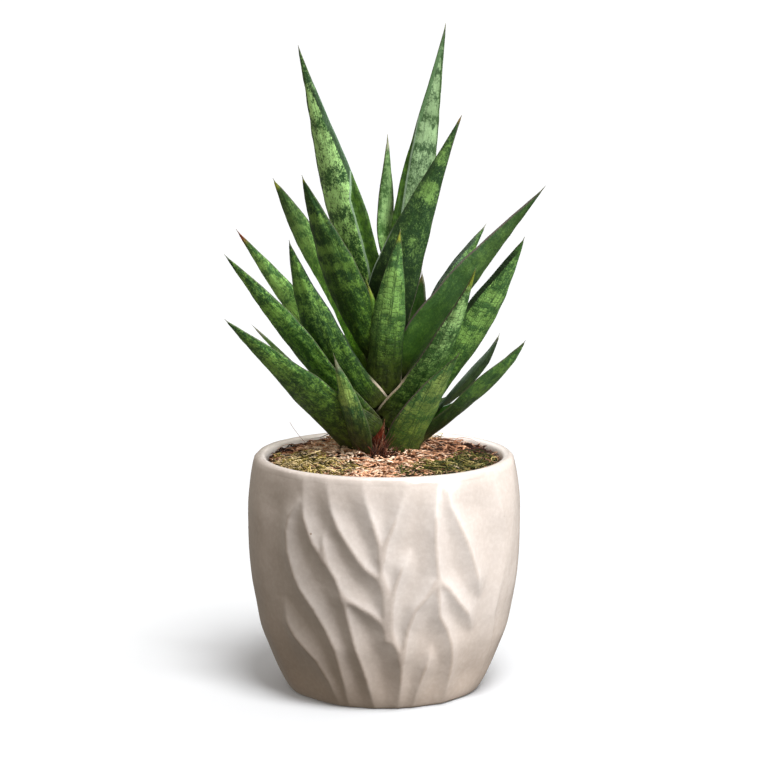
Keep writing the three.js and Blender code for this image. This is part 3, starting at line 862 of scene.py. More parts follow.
@dataclass
class Pot:
    """The glazed pot: a turned wall with crossing sharp ridges and smooth scoops between them.

    Sizes are in millimetres. Ridges are [azimuth, height] lines over the front half of the pot. They are
    repeated at the back, and plain panels at the sides part the two.
    """

    height: float = 122.0
    foot: tuple[Pair, ...] = ((0, 20), (0, 40), (0, 46.6))
    wall: tuple[Pair, ...] = (
        (0, 47.5), (1, 49.4), (5.8, 52.3), (14.8, 56.5), (24, 60.4), (33, 63.6), (44, 65.8),
        (58, 68.3), (72, 69.5), (85, 70), (97, 70), (107, 68.9), (114, 67.8), (118, 67.0),
    )
    lip: tuple[Pair, ...] = (
        (120.4, 66.4), (121.6, 65.2), (122, 63.6), (121.5, 61.9), (120.4, 60.8), (117.5, 60),
    )
    inside: tuple[Pair, ...] = ((105, 60), (90, 60), (60, 58.2), (34, 54.5), (14, 46), (9, 40), (9, 20))
    ridge_repeats: int = 2
    ridge_depth: float = 3.6
    ridge_falloff: float = 7.5
    ridge_blend: float = 5.0
    mm_per_degree: float = 1.15
    panel: Pair = (50.0, 66.0)
    foot_share: float = 0.35
    foot_reach: float = 18.0
    rim_share: float = 0.3
    rim_reach: float = 24.0
    run_out: float = 20.0
    waviness: float = 0.12
    wave_length: float = 26.0
    wave_seed: int = 11
    open_starts: tuple[int, ...] = (1, 6, 11, 13)
    open_ends: tuple[int, ...] = (8, 9)
    rows: int = 150
    columns: int = 420
    ridges: tuple[tuple[Pair, ...], ...] = (
        (
            (-37, 119), (-35, 100), (-31, 88), (-25.5, 80), (-20.5, 71),
            (-17.5, 61), (-15.5, 48), (-13, 34), (-10, 22), (-6.5, 5), (-4.5, -3),
        ),
        ((-24, 103), (-26, 91), (-25.5, 80)),
        ((-17.5, 61), (-12, 58), (-5, 53), (0.5, 47), (4, 39), (7, 32), (8.3, 24), (8.5, 12), (8, -3)),
        ((-25, 120), (-22.5, 106), (-19, 96), (-14, 87), (-8, 77), (-2.5, 72), (0.5, 64), (1.7, 51)),
        ((-9.5, 121), (-7.5, 111), (-4.5, 99), (-2, 89), (-1.2, 82), (-1.2, 74), (0.5, 67), (1.8, 40)),
        ((9.5, 119), (6.5, 107), (3.3, 97), (0.5, 89), (-0.8, 82)),
        ((14.5, 92), (10.5, 84), (7.3, 77), (4.5, 67), (2.5, 56), (2, 40)),
        ((21.3, 67), (17.5, 61), (13.3, 55), (10.4, 45), (9.3, 37), (8.3, 29)),
        (
            (23, 120), (21.5, 105), (21.4, 91), (22.4, 76), (23.5, 69),
            (28, 65), (33.5, 57), (39.5, 50), (44.5, 42), (47.5, 35),
        ),
        ((28, 114), (29, 107), (32.5, 97), (36.6, 87), (40.5, 76), (45, 62), (48.5, 51)),
        ((22.7, 68), (23.5, 60), (24.5, 51), (29, 43), (32, 35), (34.5, 24), (36, 9), (37, -3)),
        ((23.5, 42), (22, 36), (21.3, 27), (19.5, 19), (18, 11), (16.5, -3)),
        (
            (-38, 108), (-43, 100), (-44.5, 92), (-44, 82), (-41.5, 72), (-38, 63),
            (-32, 54), (-26.5, 43), (-23, 33), (-21, 13), (-21, -3),
        ),
        ((-48.5, 61), (-49, 53), (-48, 43), (-44.5, 37), (-40, 32), (-34, 25), (-29, 12), (-26, -3)),
        ((56, 116), (58, 101), (62, 88), (63, 74), (59, 60), (57, 46), (60, 30), (63, 12), (64, -3)),
    )

    def smooth_wall(self) -> Array:
        """The wall as (height, radius) rows: a Catmull-Rom curve through the wall's points.

        Returns:
            The rows.
        """
        points = np.array(self.wall, float)
        padded = np.concatenate([points[:1], points, points[-1:]])
        t = np.linspace(0, len(points) - 1, self.rows)
        cell = np.minimum(t.astype(int), len(points) - 2)
        u = (t - cell)[:, None]
        a, b, c, d = (padded[cell + k] for k in range(4))
        square, cube = 2 * a - 5 * b + 4 * c - d, 3 * b - a - 3 * c + d
        return 0.5 * (2 * b + (c - a) * u + square * u**2 + cube * u**3)

    def local(self, azimuth: Array) -> Array:
        """Degrees from the middle of the nearest ridged face."""
        sector = 360 / self.ridge_repeats
        return azimuth - sector * np.round(azimuth / sector)

    def nearest(
        self, ridge: Sequence[Pair], azimuth: Array, height: Array, radius: Array
    ) -> tuple[Array, Array, float]:
        """How far each place on the wall lies from a ridge, by the nearest point on its segments.

        Args:
            ridge: The ridge's points.
            azimuth: The places' azimuths from the middle of their face.
            height: Their heights.
            radius: Their radii.

        Returns:
            The distances, how far along the ridge its nearest points are, and the ridge's length.
        """
        distance, reach, done = np.full_like(radius, np.inf), np.zeros_like(radius), 0.0
        scale = np.radians(1) * radius
        sector = 360 / self.ridge_repeats
        for start, end in zip(ridge[:-1], ridge[1:]):
            stretch = math.hypot(self.mm_per_degree * (end[0] - start[0]), end[1] - start[1])
            for turn in (-sector, 0, sector):
                px, py = (azimuth + turn - start[0]) * scale, height - start[1]
                dx, dy = (end[0] - start[0]) * scale, end[1] - start[1]
                along = np.clip((px * dx + py * dy) / (dx * dx + dy * dy), 0, 1)
                off = np.hypot(px - along * dx, py - along * dy)
                reach = np.where(off < distance, done + along * stretch, reach)
                distance = np.minimum(distance, off)
            done += stretch
        return distance, reach, done

    def crest(self, azimuth: Array, height: Array, radius: Array) -> Array:
        """How near a crest each place is.

        Each ridge adds exp(-blend * distance / falloff), with the distance measured along the wall, and the
        sum is taken to the power 1 / blend. A ridge that ends in the open wall runs out to nothing there.

        Args:
            azimuth: The places' azimuths.
            height: Their heights.
            radius: Their radii.

        Returns:
            1 on a crest, and 0 far from all of them.
        """
        total = np.zeros_like(radius)
        local = self.local(azimuth)
        for number, ridge in enumerate(self.ridges):
            distance, reach, length = self.nearest(ridge, local, height, radius)
            run = np.ones_like(radius)
            if number in self.open_starts:
                run = run * smooth(-1, self.run_out, reach)
            if number in self.open_ends:
                run = run * smooth(-1, self.run_out, length - reach)
            total += np.exp(-self.ridge_blend * distance / self.ridge_falloff) * run**self.ridge_blend
        return np.minimum(1, total ** (1 / self.ridge_blend))

    def fade(self, azimuth: Array, height: Array) -> Array:
        """How deep the carving is: less at the foot and the rim, none on the lip and on the side panels.

        Args:
            azimuth: The places' azimuths.
            height: Their heights.

        Returns:
            The share of the full depth, from 0 to 1.
        """
        wall_top, lip_top = self.wall[-1][0], self.lip[1][0]
        fade = lerp(self.foot_share, 1, smooth(0, self.foot_reach, height))
        fade = fade * lerp(1, self.rim_share, smooth(self.height - self.rim_reach, wall_top, height))
        fade = fade * (1 - smooth(wall_top, lip_top, height))
        return fade * (1 - smooth(*self.panel, np.abs(self.local(azimuth))))

    def surface(self) -> Surface:
        """The whole pot as one closed turned surface.

        Its profile of (height, radius) rows runs over the foot, the wall, the lip and the inside. The wall
        lies deeper by depth * (1 - crest) * fade, and waves a little.

        Returns:
            The surface.
        """
        profile = np.concatenate([self.foot, self.smooth_wall(), self.lip, self.inside])
        azimuth = np.linspace(0, 360, self.columns, endpoint=False)[None, :]
        azimuth, height, radius = np.broadcast_arrays(azimuth, profile[:, :1], profile[:, 1:])
        crest = self.crest(azimuth, height, radius)
        fade = self.fade(azimuth, height)
        row = np.arange(len(profile))[:, None]
        wall_start, wall_end = len(self.foot), len(self.foot) + self.rows
        outside = (row >= wall_start) & (row < wall_end + 2)
        depth = np.where(outside, self.ridge_depth * (1 - crest) * fade, 0)
        waves = ripples(polar(azimuth, radius, height), self.wave_length, self.wave_seed)
        points = polar(azimuth, radius - depth + self.waviness * outside * waves, height)
        values = {
            "crest": np.where(outside, crest * fade, 0.6),
            "inside": np.broadcast_to(row >= wall_end + 3, crest.shape).astype(float),
            "foot": np.broadcast_to(row < wall_start, crest.shape).astype(float),
        }
        return capped_tube(points, values)

    def build(self) -> None:
        """Adds the pot."""
        add_piece("pot_glazed", self.surface(), GlazeFinish().material(), ["pot"])


# ---------------------------------------------------------------- leaves


@dataclass
class Leaf:
    """One blade. It starts round the crown and ends in a dry point.

    Attributes:
        root: Azimuth and height of its root on the crown.
        tip: Azimuth, reach and height of its tip.
        bend: How far its middle is moved from the straight line, in mm.
        width: Its greatest width round the arc, in mm.
        twist: How far its face turns on the way up, in degrees.
        clasp: How far its root clasps the crown on either side, in degrees.
        finish: Its markings.
        spike: The length of its narrow awl, in mm.
        taper: The share of the length over which it narrows to its tip, and the power of the narrowing.
        fold: Where its far half shows beyond a near margin, as (share of the length, place across).
        fold_side: The side that lies beyond the fold.
        stand: How far its root stands off the crown, in mm.
    """

    root: Pair
    tip: Triple
    bend: Triple
    width: float
    twist: float
    clasp: float
    finish: LeafFinish = LeafFinish()
    spike: float = 7.0
    taper: Pair = (0.67, 1.1)
    fold: tuple[Pair, ...] = ()
    fold_side: Side = Side.RIGHT
    stand: float = 0.0


@dataclass
class BladeMaker:
    """Turns a leaf's few sizes into its skin. Sizes are in millimetres."""

    crown_radius: float = 16.0
    stem_foot: float = 121.0
    stem_tip: float = 192.0
    stem_tip_radius: float = 3.2
    gap: float = 0.35
    thickness: float = 2.6
    margin_thickness: float = 0.9
    open_span: float = 35.5
    awl: float = 0.55
    awl_share: float = 0.42
    point_length: float = 3.0
    point_share: float = 0.45
    clasp_share: float = 0.3
    opening_share: float = 0.45
    twist_share: float = 0.7
    full_share: float = 0.55
    stations: int = 150
    crowding: float = 1.25
    around: int = 64
    edge_roundness: float = 2.6
    wave: float = 0.012
    groove: float = 0.10
    groove_width: float = 0.45
    groove_count: int = 7
    swelling: float = 0.10
    fold_depth: float = 1.3
    no_fold: float = -9.0

    def root_radius(self, leaf: Leaf) -> float:
        """The radius of the leaf's middle layer at its root, on a crown that tapers straight to its tip."""
        climb = np.clip((leaf.root[1] - self.stem_foot) / (self.stem_tip - self.stem_foot), 0, 1)
        return lerp(self.crown_radius, self.stem_tip_radius, climb) + self.gap + self.thickness / 2

    def path(self, leaf: Leaf, share: Array) -> tuple[Array, Array]:
        """The blade's middle line and its direction: a quadratic Bezier curve from root to tip.

        Args:
            leaf: The leaf.
            share: The stations, as shares of the curve.

        Returns:
            The places, and the unit directions there.
        """
        start = polar(leaf.root[0], self.root_radius(leaf) + leaf.stand, leaf.root[1])
        end = polar(*leaf.tip)
        handle = (start + end) / 2 + 2 * np.array(leaf.bend)
        t = share[:, None]
        line = (1 - t) ** 2 * start + 2 * (1 - t) * t * handle + t**2 * end
        slope = 2 * (1 - t) * (handle - start) + 2 * t * (end - handle)
        return line, unit(slope)

    def half_widths(self, leaf: Leaf, share: Array, from_tip: Array) -> Array:
        """The blade's half width at each station.

        It starts as the root's arc round the crown and goes over to a sine of the distance from the tip, to
        a power. Towards the tip it shrinks to an awl, and in its last 3 mm to a point.

        Args:
            leaf: The leaf.
            share: The stations, as shares of the curve.
            from_tip: Their distances from the tip.

        Returns:
            The half widths.
        """
        clasped = np.radians(leaf.clasp) * self.root_radius(leaf)
        shape = np.sin(np.pi / 2 * np.minimum(1, (1 - share) / leaf.taper[0])) ** leaf.taper[1]
        half = lerp(clasped, leaf.width / 2 * shape, smooth(0, self.clasp_share, share))
        half = np.maximum(self.awl, half) * lerp(self.awl_share, 1, smooth(0, leaf.spike, from_tip))
        return half * lerp(self.point_share, 1, smooth(0, self.point_length, from_tip))

    def relief(self, leaf: Leaf, half: Array, across: Array, side: Array, flat: Array, seed: int) -> Array:
        """How far each place of the skin lies outside the blade's middle layer.

        The thickness falls from the middle to the margins with the square of the place across, and closes at
        the margins by a circle's root. The outer face has shallow lengthwise grooves, and both faces swell.

        Args:
            leaf: The leaf.
            half: Each station's half width.
            across: The places across, from -1 to 1.
            side: Above 0 on the outer face and below 0 on the inner one.
            flat: The places in mm across and along.
            seed: The seed of the grooves and the swelling.

        Returns:
            The distances, for each station and place round it.
        """
        fullness = np.minimum(1, half / (leaf.width / 2 * self.full_share))
        middle = lerp(self.margin_thickness, self.thickness, fullness)[:, None]
        body = lerp(middle, np.minimum(self.margin_thickness, middle), across**2) / 2
        closing = np.minimum(1, self.edge_roundness * np.sqrt(np.maximum(0, 1 - across**2)))
        depth = np.sign(side) * body * closing * (half / np.maximum(half, self.awl))[:, None]
        lanes = np.random.default_rng(seed).uniform(-0.8, 0.8, self.groove_count)[:, None, None]
        off = (across[None] - lanes) * half[None, :, None]
        cut = np.exp(-((off / self.groove_width) ** 2)).sum(axis=0)
        depth -= np.where(side > 0, self.groove * cut * smooth(0, 6, half)[:, None], 0)
        swell = ripples(flat / np.array([1.0, 2.2]), 6, seed + 2) * smooth(0.5, 5, half)[:, None]
        return depth + self.swelling * swell * closing

    def beyond_fold(self, leaf: Leaf, share: Array, half: Array, across: Array) -> Array:
        """How far each place lies beyond the leaf's fold, in mm.

        The fold's place across is read from its points by the share of the length, and the distance is the
        half width times the difference across.

        Args:
            leaf: The leaf.
            share: The stations, as shares of the curve.
            half: Their half widths.
            across: The places across, from -1 to 1.

        Returns:
            The distances, with no_fold where the leaf has no fold.
        """
        if not leaf.fold:
            return np.full((len(share), across.shape[1]), self.no_fold)
        at = np.array(leaf.fold)
        place = np.interp(share, at[:, 0], at[:, 1])[:, None]
        beyond = (across * leaf.fold_side.value - place) * half[:, None]
        return np.where(share[:, None] > at[-1, 0], self.no_fold, beyond)

    def surface(self, leaf: Leaf, seed: int) -> tuple[Surface, float]:
        """The blade's closed skin.

        At each station the section is an arc of radius half / span about a centre on the inner side, and the
        root's arc is the crown's own. Stations crowd towards the tip.

        Args:
            leaf: The leaf.
            seed: The seed of its small irregularities.

        Returns:
            The skin, and the blade's length in mm.
        """
        share = 1 - np.linspace(1, 0, self.stations) ** self.crowding
        line, tangent = self.path(leaf, share)
        along = np.concatenate([[0], np.cumsum(np.linalg.norm(np.diff(line, axis=0), axis=1))])
        length = float(along[-1])
        facing = leaf.root[0] + leaf.twist * smooth(0, self.twist_share, share)
        outward = polar(facing, 1.0, 0.0)
        outward = unit(outward - (outward * tangent).sum(axis=-1, keepdims=True) * tangent)
        sideways = np.cross(tangent, outward)

        half = self.half_widths(leaf, share, length - along)
        opening = smooth(0, self.opening_share, share)
        span = lerp(np.radians(leaf.clasp), np.radians(self.open_span), opening)
        arc = (half / span)[:, None]
        across, side = np.cos(circle(self.around))[None, :], np.sin(circle(self.around))[None, :]
        waves = self.wave * ripples(along[:, None], 23, seed)
        waves = 1 + waves * smooth(0, 0.25, share) * (1 - smooth(0.9, 1, share))
        skew = 0.5 * self.wave * ripples(along[:, None], 31, seed + 1)
        angle = across * span[:, None] * (waves[:, None] + skew[:, None] * across)

        flat = np.stack(np.broadcast_arrays(across * half[:, None], along[:, None]), axis=-1)
        beyond = self.beyond_fold(leaf, share, half, across)
        radius = arc + self.relief(leaf, half, across, side, flat, seed)
        radius = radius - self.fold_depth * smooth(-0.2, 0.7, beyond)
        aside, ahead = radius * np.sin(angle), radius * np.cos(angle) - arc
        points = line[:, None] + sideways[:, None] * aside[..., None] + outward[:, None] * ahead[..., None]
        values = {
            "share": np.broadcast_to(share[:, None], angle.shape),
            "from_tip": np.broadcast_to((length - along)[:, None], angle.shape),
            "margin": half[:, None] * (1 - np.abs(across)),
            "inner": np.broadcast_to(side < 0, angle.shape).astype(float),
            "beyond": np.where(side < 0, self.no_fold, beyond),
        }
        return capped_tube(points, values, flat), length


def leaf_list() -> list[Leaf]:
    """The leaves as they stand on the crown.

    Returns:
        The leaves, youngest first.
    """
    f, tip, ground, marking, left, right = LeafFinish, TipColour, Ground, Marking, Side.LEFT, Side.RIGHT
    tan, grey, frost = (0.50, 0.42, 0.30), (0.080, 0.070, 0.052), (0.30, 0.40, 0.30)
    # shade and crease are painted shade: dark strips along margins and in creases where the blade is shaded
    shade, crease, brown = (0.012, 0.028, 0.008), (0.020, 0.055, 0.008), (0.22, 0.15, 0.09)
    dull, sage = (0.045, 0.095, 0.040), (0.075, 0.15, 0.055)
    # Each finish's light pair is painted light and shade on that leaf's greens.
    return [
        Leaf((-69, 186), (-103, 44.5, 329.5), (3, 0, -15), 33, 26, 66, f(
            ((23, 37, 0.9), (43, 64, 0.7), (74, 85, 0.85), (91, 101, 0.45)),
            0.28, ground.DEEP, marking.JADE, 1.7, 0.1, light=(1.8, 2.2),
            rims=(Rim(left, 0.20, 0.92, 0.4, crease, 2.1), Rim(right, 0.25, 0.90, 2.4, dull))), 6,
            fold=(
                (0.15, 0.50), (0.25, 0.58), (0.32, 0.60), (0.40, 0.60),
                (0.47, 0.58), (0.55, 0.58), (0.64, 1.0),
            )),
        Leaf((168, 181), (150, 3.5, 285), (0, 0, 0), 15, -132, 60, f(
            ((10, 26, 0.8), (31, 45, 0.9), (52, 70, 0.9)), 0.55, ground.LEAF, marking.JADE, 1.5, 0.1,
            light=(4.0, 0.8), inner_shade=0.0, tip_length=6)),
        Leaf((82, 177), (104, 32, 340.5), (-3, 0, -15), 28.5, -47, 66, f(
            ((17, 22, 0.7), (28, 36.5, 1), (40, 47, 1), (51, 60, 1), (65, 98, 0.3)),
            0.34, ground.FOREST, marking.SILVER, 1.4, 0.1, light=(0.45, 0.76),
            rims=(Rim(right, 0.45, 0.92, 0.35, crease, 1.7), Rim(left, 0.5, 0.95, 1.8, sage))), 7,
            fold=((0.15, 0.63), (0.45, 0.68), (0.64, 0.76), (0.78, 1.0)), fold_side=left),
        Leaf((-25, 173), (60, 44.5, 296.5), (-10.5, 0, -16), 27, 25, 66, f(
            ((9, 27, 0.75), (37.5, 46.5, 0.85), (67, 74, 0.35)),
            0.08, ground.DEEP, marking.GREEN, 1.15, 0.15, tip.ORANGE, 3.5, light=(0.05, 1.05),
            rims=(Rim(left, 0.25, 0.60, 0.9, frost), Rim(right, 0.1, 0.98, 0.45, grey))), 5),
        Leaf((-37, 170), (-58, 48, 267), (-2, 0, 1), 26.5, -2, 66, f(
            ((21, 26, 0.95), (38, 43, 0.85), (47.5, 53, 0.85), (59, 64, 0.4)),
            0.26, ground.DEEP, marking.MOSS, 1.2, 0.2, tip.YELLOW, 3, light=(1.4, 1.35))),
        Leaf((-6, 165), (-28, 20, 215), (2, 0, 0), 6, 0, 24, f(
            (), 0.7, ground.FRESH, marking.GREEN, 0.4, 0.0, tip.LIME, 9, 0.05, light=(1.5, 1.5)), 12),
        Leaf((-100, 164), (-112, 61.5, 261), (-4, 0, 9), 24.5, 47, 62, f(
            ((18, 23, 0.7), (27, 31, 0.8), (35, 42, 0.5)),
            0.50, ground.LEAF, marking.GREEN, 1.7, 0.1, tip.YELLOW, 5, light=(5.0, 0.85))),
        Leaf((56, 163), (88, 81.5, 259.5), (-6.5, 0, -5), 27.5, 0, 66, f(
            ((14, 60, 0.35),), 0.22, ground.FOREST, marking.MOSS, 0.7, 0.15, tip.OLIVE, 3,
            light=(1.15, 0.80), rims=(Rim(left, 0.2, 0.95, 0.7, grey),)), 12),
        Leaf((150, 158), (140, 30.5, 213), (3.5, 0, 2), 14.5, 0, 45, f(
            (), 0.2, ground.DEEP, marking.OLIVE, 0.8, 0.1, tip.OLIVE, 5)),
        Leaf((-8, 155), (18, 26.5, 240), (-0.5, 0, 0), 18.5, 9, 56, f(
            ((20, 44, 0.75), (47, 54, 0.3)),
            0.46, ground.FOREST, marking.GREEN, 1.0, 0.75, tip.YELLOW, 5, 0.42, light=(0.85, 1.45),
            rims=(Rim(right, 0.02, 0.10, 0.9, tan), Rim(right, 0.10, 0.4, 0.5, shade)))),
        Leaf((-168, 152), (-170, 34, 205), (0, 0, 4), 18, 0, 50, f(((14, 20, 0.6), (27, 33, 0.5)), 0.3)),
        Leaf((104, 150), (122, 62.5, 236.5), (-2.5, 0, 2), 22.5, -54, 60, f(
            ((12, 20, 0.4),), 0.35, ground.DEEP, marking.MOSS, 1.3, light=(0.8, 1.4),
            rims=(Rim(left, 0.2, 0.9, 1.6, shade),))),
        Leaf((-100, 148), (-102, 77.5, 235.5), (0, 0, 0), 23.5, 44, 60, f(
            ((14, 24, 0.5), (30, 42, 0.7), (48, 56, 0.6)),
            0.60, ground.FOREST, marking.GREEN, 1.6, 0.1, tip.RED, 7, light=(4.0, 2.4)), 9),
        Leaf((-45, 145), (-60, 54.5, 235), (-4.5, 0, -3), 25.5, 12, 66, f(
            ((12.5, 15.5, 0.6), (21, 27, 0.9), (34, 40, 0.4), (60, 68, 0.3)),
            0.45, ground.DEEP, marking.MOSS, 1.6, 0.25, tip.WHITISH, 1.5, light=(0.85, 1.95),
            rims=(Rim(right, 0.02, 0.13, 1.2, tan), Rim(right, 0.18, 0.9, 0.5, shade)))),
        Leaf((43, 140), (40.3, 69.3, 224), (3, 0, 1), 25, -12, 66, f(
            ((19, 36, 1.0),), 0.55, ground.FOREST, marking.JADE, 1.1, 0.8, tip.LIME, 10, light=(0.8, 1.7),
            rims=(Rim(left, 0.03, 0.25, 1.0, tan), Rim(left, 0.25, 0.9, 0.4, grey))), 5, (1.0, 1.25)),
        Leaf((158, 137), (160, 54, 196), (0, 2, 5), 22, 0, 56, f(((15, 22, 0.6), (30, 36, 0.6)), 0.35)),
        Leaf((-62, 134.5), (-70, 84.5, 228), (0, 0, 2.5), 24.5, 13, 66, f(
            ((12, 20, 0.4), (34, 46, 0.45), (70, 84, 0.35)),
            0.50, ground.DEEP, marking.MOSS, 1.6, 0.3, tip.WHITISH, 1.5, light=(1.05, 2.8)), 9),
        Leaf((118, 134.5), (121, 70.5, 178.5), (6.5, 0, -2.5), 19.5, -33, 55, f(
            (), 0.3, ground.DEEP, marking.MOSS, light=(0.15, 0.28),
            rims=(Rim(left, 0.1, 0.9, 2.2, shade),))),
        Leaf((52, 132.5), (60, 80, 238), (5, 0, 5), 25, -22, 68, f(
            ((33, 40, 0.6), (45, 53, 0.6), (57, 64, 0.6), (90, 96, 0.3)),
            0.46, ground.FOREST, marking.GREEN, 1.3, 0.7, tip.WHITISH, 1.5, light=(0.8, 1.6),
            rims=(Rim(left, 0.55, 0.92, 2.4, shade), Rim(right, 0.1, 0.9, 0.5, frost)))),
        Leaf((-150, 131), (-162, 60, 188), (-1, 2, 5), 22, 0, 56, f(((13, 20, 0.6), (28, 35, 0.5)), 0.3)),
        Leaf((-124, 129), (-124, 84, 181.5), (0, 0, 0.5), 16, 20, 44, f(
            (), 0.5, ground.LEAF, marking.GREEN, 0.8, 0.1, tip.WHITISH, 9,
            light=(1.5, 3.2), inner_shade=0.2), 12),
        Leaf((83, 127), (74, 74, 183.5), (6.5, 0, 1), 28, -22, 60, f(
            ((14, 21, 0.4), (30, 38, 0.5)), 0.50, ground.FOREST, marking.MOSS, 1.2, 0.5, tip.WHITISH, 1.5,
            light=(0.2, 1.2), rims=(Rim(right, 0.1, 0.9, 0.6, frost),))),
        Leaf((-38, 125), (-63, 88.5, 197), (0.5, 0, -0.5), 31, -14, 68, f(
            ((15, 24, 0.35), (30, 42, 0.5), (55, 65, 0.2)),
            0.48, ground.DEEP, marking.MOSS, 1.6, 0.5, tip.WHITISH, 2, 0.3, light=(0.85, 2.7))),
        Leaf((178, 123), (176, 64, 172), (0, 0, 6), 24, 0, 60, f(((14, 21, 0.6), (29, 36, 0.6)), 0.35)),
        Leaf((31, 122), (41.4, 56, 180), (-2.5, 0, -1.5), 25.5, 8, 46, f(
            ((14, 27, 0.7), (32, 40, 0.5), (46, 52, 0.35)),
            0.52, ground.FOREST, marking.OLIVE, 1.1, 0.8, tip.WHITISH, 1.5, 0.3, light=(0.9, 1.5),
            rims=(Rim(left, 0.1, 0.75, 0.5, grey),))),
        Leaf((-42, 121), (-37, 42, 179), (2, -6, -3), 17, 8, 28, f(
            ((12, 28, 0.8),), 0.40, ground.DEEP, marking.OLIVE, 1.1, 0.6, tip.WHITISH, 7, 0.6,
            light=(0.28, 2.3), rims=(Rim(left, 0.12, 0.36, 1.0, brown),)), 14),
    ]


@dataclass
class Foliage:
    """All the leaves, and the dry scales and shreds at their foot. Sizes are in millimetres."""

    first_seed: int = 310
    scale_thickness: float = 1.1
    shred_count: int = 120
    shred_seed: int = 77
    shred_radii: Pair = (19.5, 25)
    shred_heights: Pair = (121.5, 124)
    shred_breadth: Pair = (0.25, 0.9)
    shred_flatness: float = 0.22
    shred_colours: tuple[Colour, ...] = (
        (0.022, 0.009, 0.005), (0.075, 0.024, 0.012), (0.20, 0.055, 0.026), (0.45, 0.26, 0.15),
    )

    def build_leaves(self) -> None:
        """Adds each leaf in place of its CAD node."""
        maker = BladeMaker()
        for number, leaf in enumerate(leaf_list(), start=1):
            name = f"leaf_{number:02d}"
            surface, length = maker.surface(leaf, self.first_seed + 10 * number)
            material = leaf.finish.material(f"{name}_skin", length, 17.0 * number)
            add_piece(f"{name}_blade", surface, material, [name])

    def build_scales(self) -> None:
        """Adds the dry, papery scales, which are made as thin leaves."""
        maker = BladeMaker(thickness=self.scale_thickness, stations=60, around=32, wave=0.05, groove=0.15)
        finish = ScaleFinish().material()
        front = Leaf((-22, 121), (1, 24, 143.8), (0.6, 0, -1.2), 15.5, 0, 20, taper=(1.0, 1.7), stand=3)
        right = Leaf((14, 121), (10, 23, 137), (0, 0, 0), 5, 0, 8)
        for i, (name, scale) in enumerate({"dry_scale_front": front, "dry_scale_right": right}.items()):
            surface, _ = maker.surface(scale, self.first_seed + i)
            add_piece(f"{name}_papery", surface, finish, [name])

    def build_shreds(self) -> None:
        """Adds the scales' frayed fibres: thin strips that stand up from the foot of the clump and curl.

        A strip's middle line is root + length * (s * direction + curl * s^2 * sideways) for s from 0 to 1.
        Its flat section thins to the tip.
        """
        rng = np.random.default_rng(self.shred_seed)
        count = self.shred_count
        azimuth = np.clip(rng.normal(-11, 12, count), -38, 14)
        root = polar(azimuth, rng.uniform(*self.shred_radii, count), rng.uniform(*self.shred_heights, count))
        outward, sideways = polar(azimuth, 1.0, 0.0), polar(azimuth + 90, 1.0, 0.0)
        lean = rng.normal(0.15, 0.25, count)[:, None] * outward
        lean += rng.normal(0.25, 0.35, count)[:, None] * sideways
        direction = unit(np.array([0.0, 0.0, 1.0]) + lean)
        length = rng.uniform(5, 10, count)
        length += 12 * rng.uniform(0, 1, count) * np.exp(-(((azimuth + 4) / 9) ** 2))
        s = np.linspace(0, 1, 7)[None, :, None]
        curl = rng.normal(0, 0.35, count)[:, None, None] * s**2
        line = root[:, None] + length[:, None, None] * (s * direction[:, None] + curl * sideways[:, None])
        flat = unit(np.cross(direction, outward) + 0.6 * rng.normal(size=(count, 3)))[:, None, None]
        thick = unit(np.cross(flat, direction[:, None, None]))
        breadth = rng.uniform(*self.shred_breadth, count)[:, None, None] * (1 - 0.8 * s)
        ring = circle(5)[:, None]
        section = np.cos(ring) * flat + self.shred_flatness * np.sin(ring) * thick
        tint = np.clip(rng.beta(1.2, 1.6, count) + 0.02 * (length - 9), 0, 1)
        shreds = swarm(line[:, :, None] + breadth[..., None] * section, tint)
        finish = StrawFinish("dry_shred_skin", self.shred_colours)
        add_piece("dry_scale_shreds", shreds, finish.material())

    def build(self) -> None:
        """Adds every leaf, scale and shred."""
        self.build_leaves()
        self.build_scales()
        self.build_shreds()


# ---------------------------------------------------------------- what covers the potting mix


@dataclass(frozen=True)
class Strands:
    """One kind of small strand that lies on the bed.

    Length, breadth and the lift above the bed are least and greatest sizes in mm. Thickness is a share of the
    breadth, curl and arch are shares of the length, and stations and around count a strand's points.
    """

    count: int
    length: Pair
    breadth: Pair
    thickness: float
    lift: Pair
    curl: float
    arch: float
    stations: int
    around: int
    seed: int


@dataclass(frozen=True)
class Spot:
    """A soft spot on the bed: 1 in its middle, and exp(-d^2) for d spreads away from it.

    Attributes:
        azimuth: Its middle and its spread, in degrees.
        radius: Its middle and its spread, in mm.
        weight: How much it darkens the chips.
    """

    azimuth: Pair
    radius: Pair
    weight: float

    def shade(self, azimuth: Array, radius: Array) -> Array:
        """How much it darkens each place."""
        off = ((azimuth - self.azimuth[0]) / self.azimuth[1]) ** 2
        return self.weight * np.exp(-off - ((radius - self.radius[0]) / self.radius[1]) ** 2)


@dataclass(frozen=True)
class MossPatch:
    """A sector of the bed that moss covers.

    Attributes:
        node: The CAD node that it stands for.
        azimuths: Where it starts and ends, in degrees.
        radii: Its inner and outer radius, in mm.
        finish: The finish of its strands.
        paleness: The mean place of its strands on the finish's ramp.
    """

    node: str
    azimuths: Pair
    radii: Pair
    finish: StrawFinish
    paleness: float

    def spread(self, rng: np.random.Generator, count: int) -> tuple[Array, Array]:
        """Places that thin out towards the sector's ends and are even along its radius.

        Args:
            rng: The generator to draw from.
            count: How many places.

        Returns:
            Their azimuths and radii.
        """
        start, end = self.azimuths
        azimuth = (start + end) / 2 + (end - start) / 2 * np.clip(rng.normal(0, 0.55, count), -1.15, 1.15)
        return azimuth, rng.uniform(*self.radii, count)


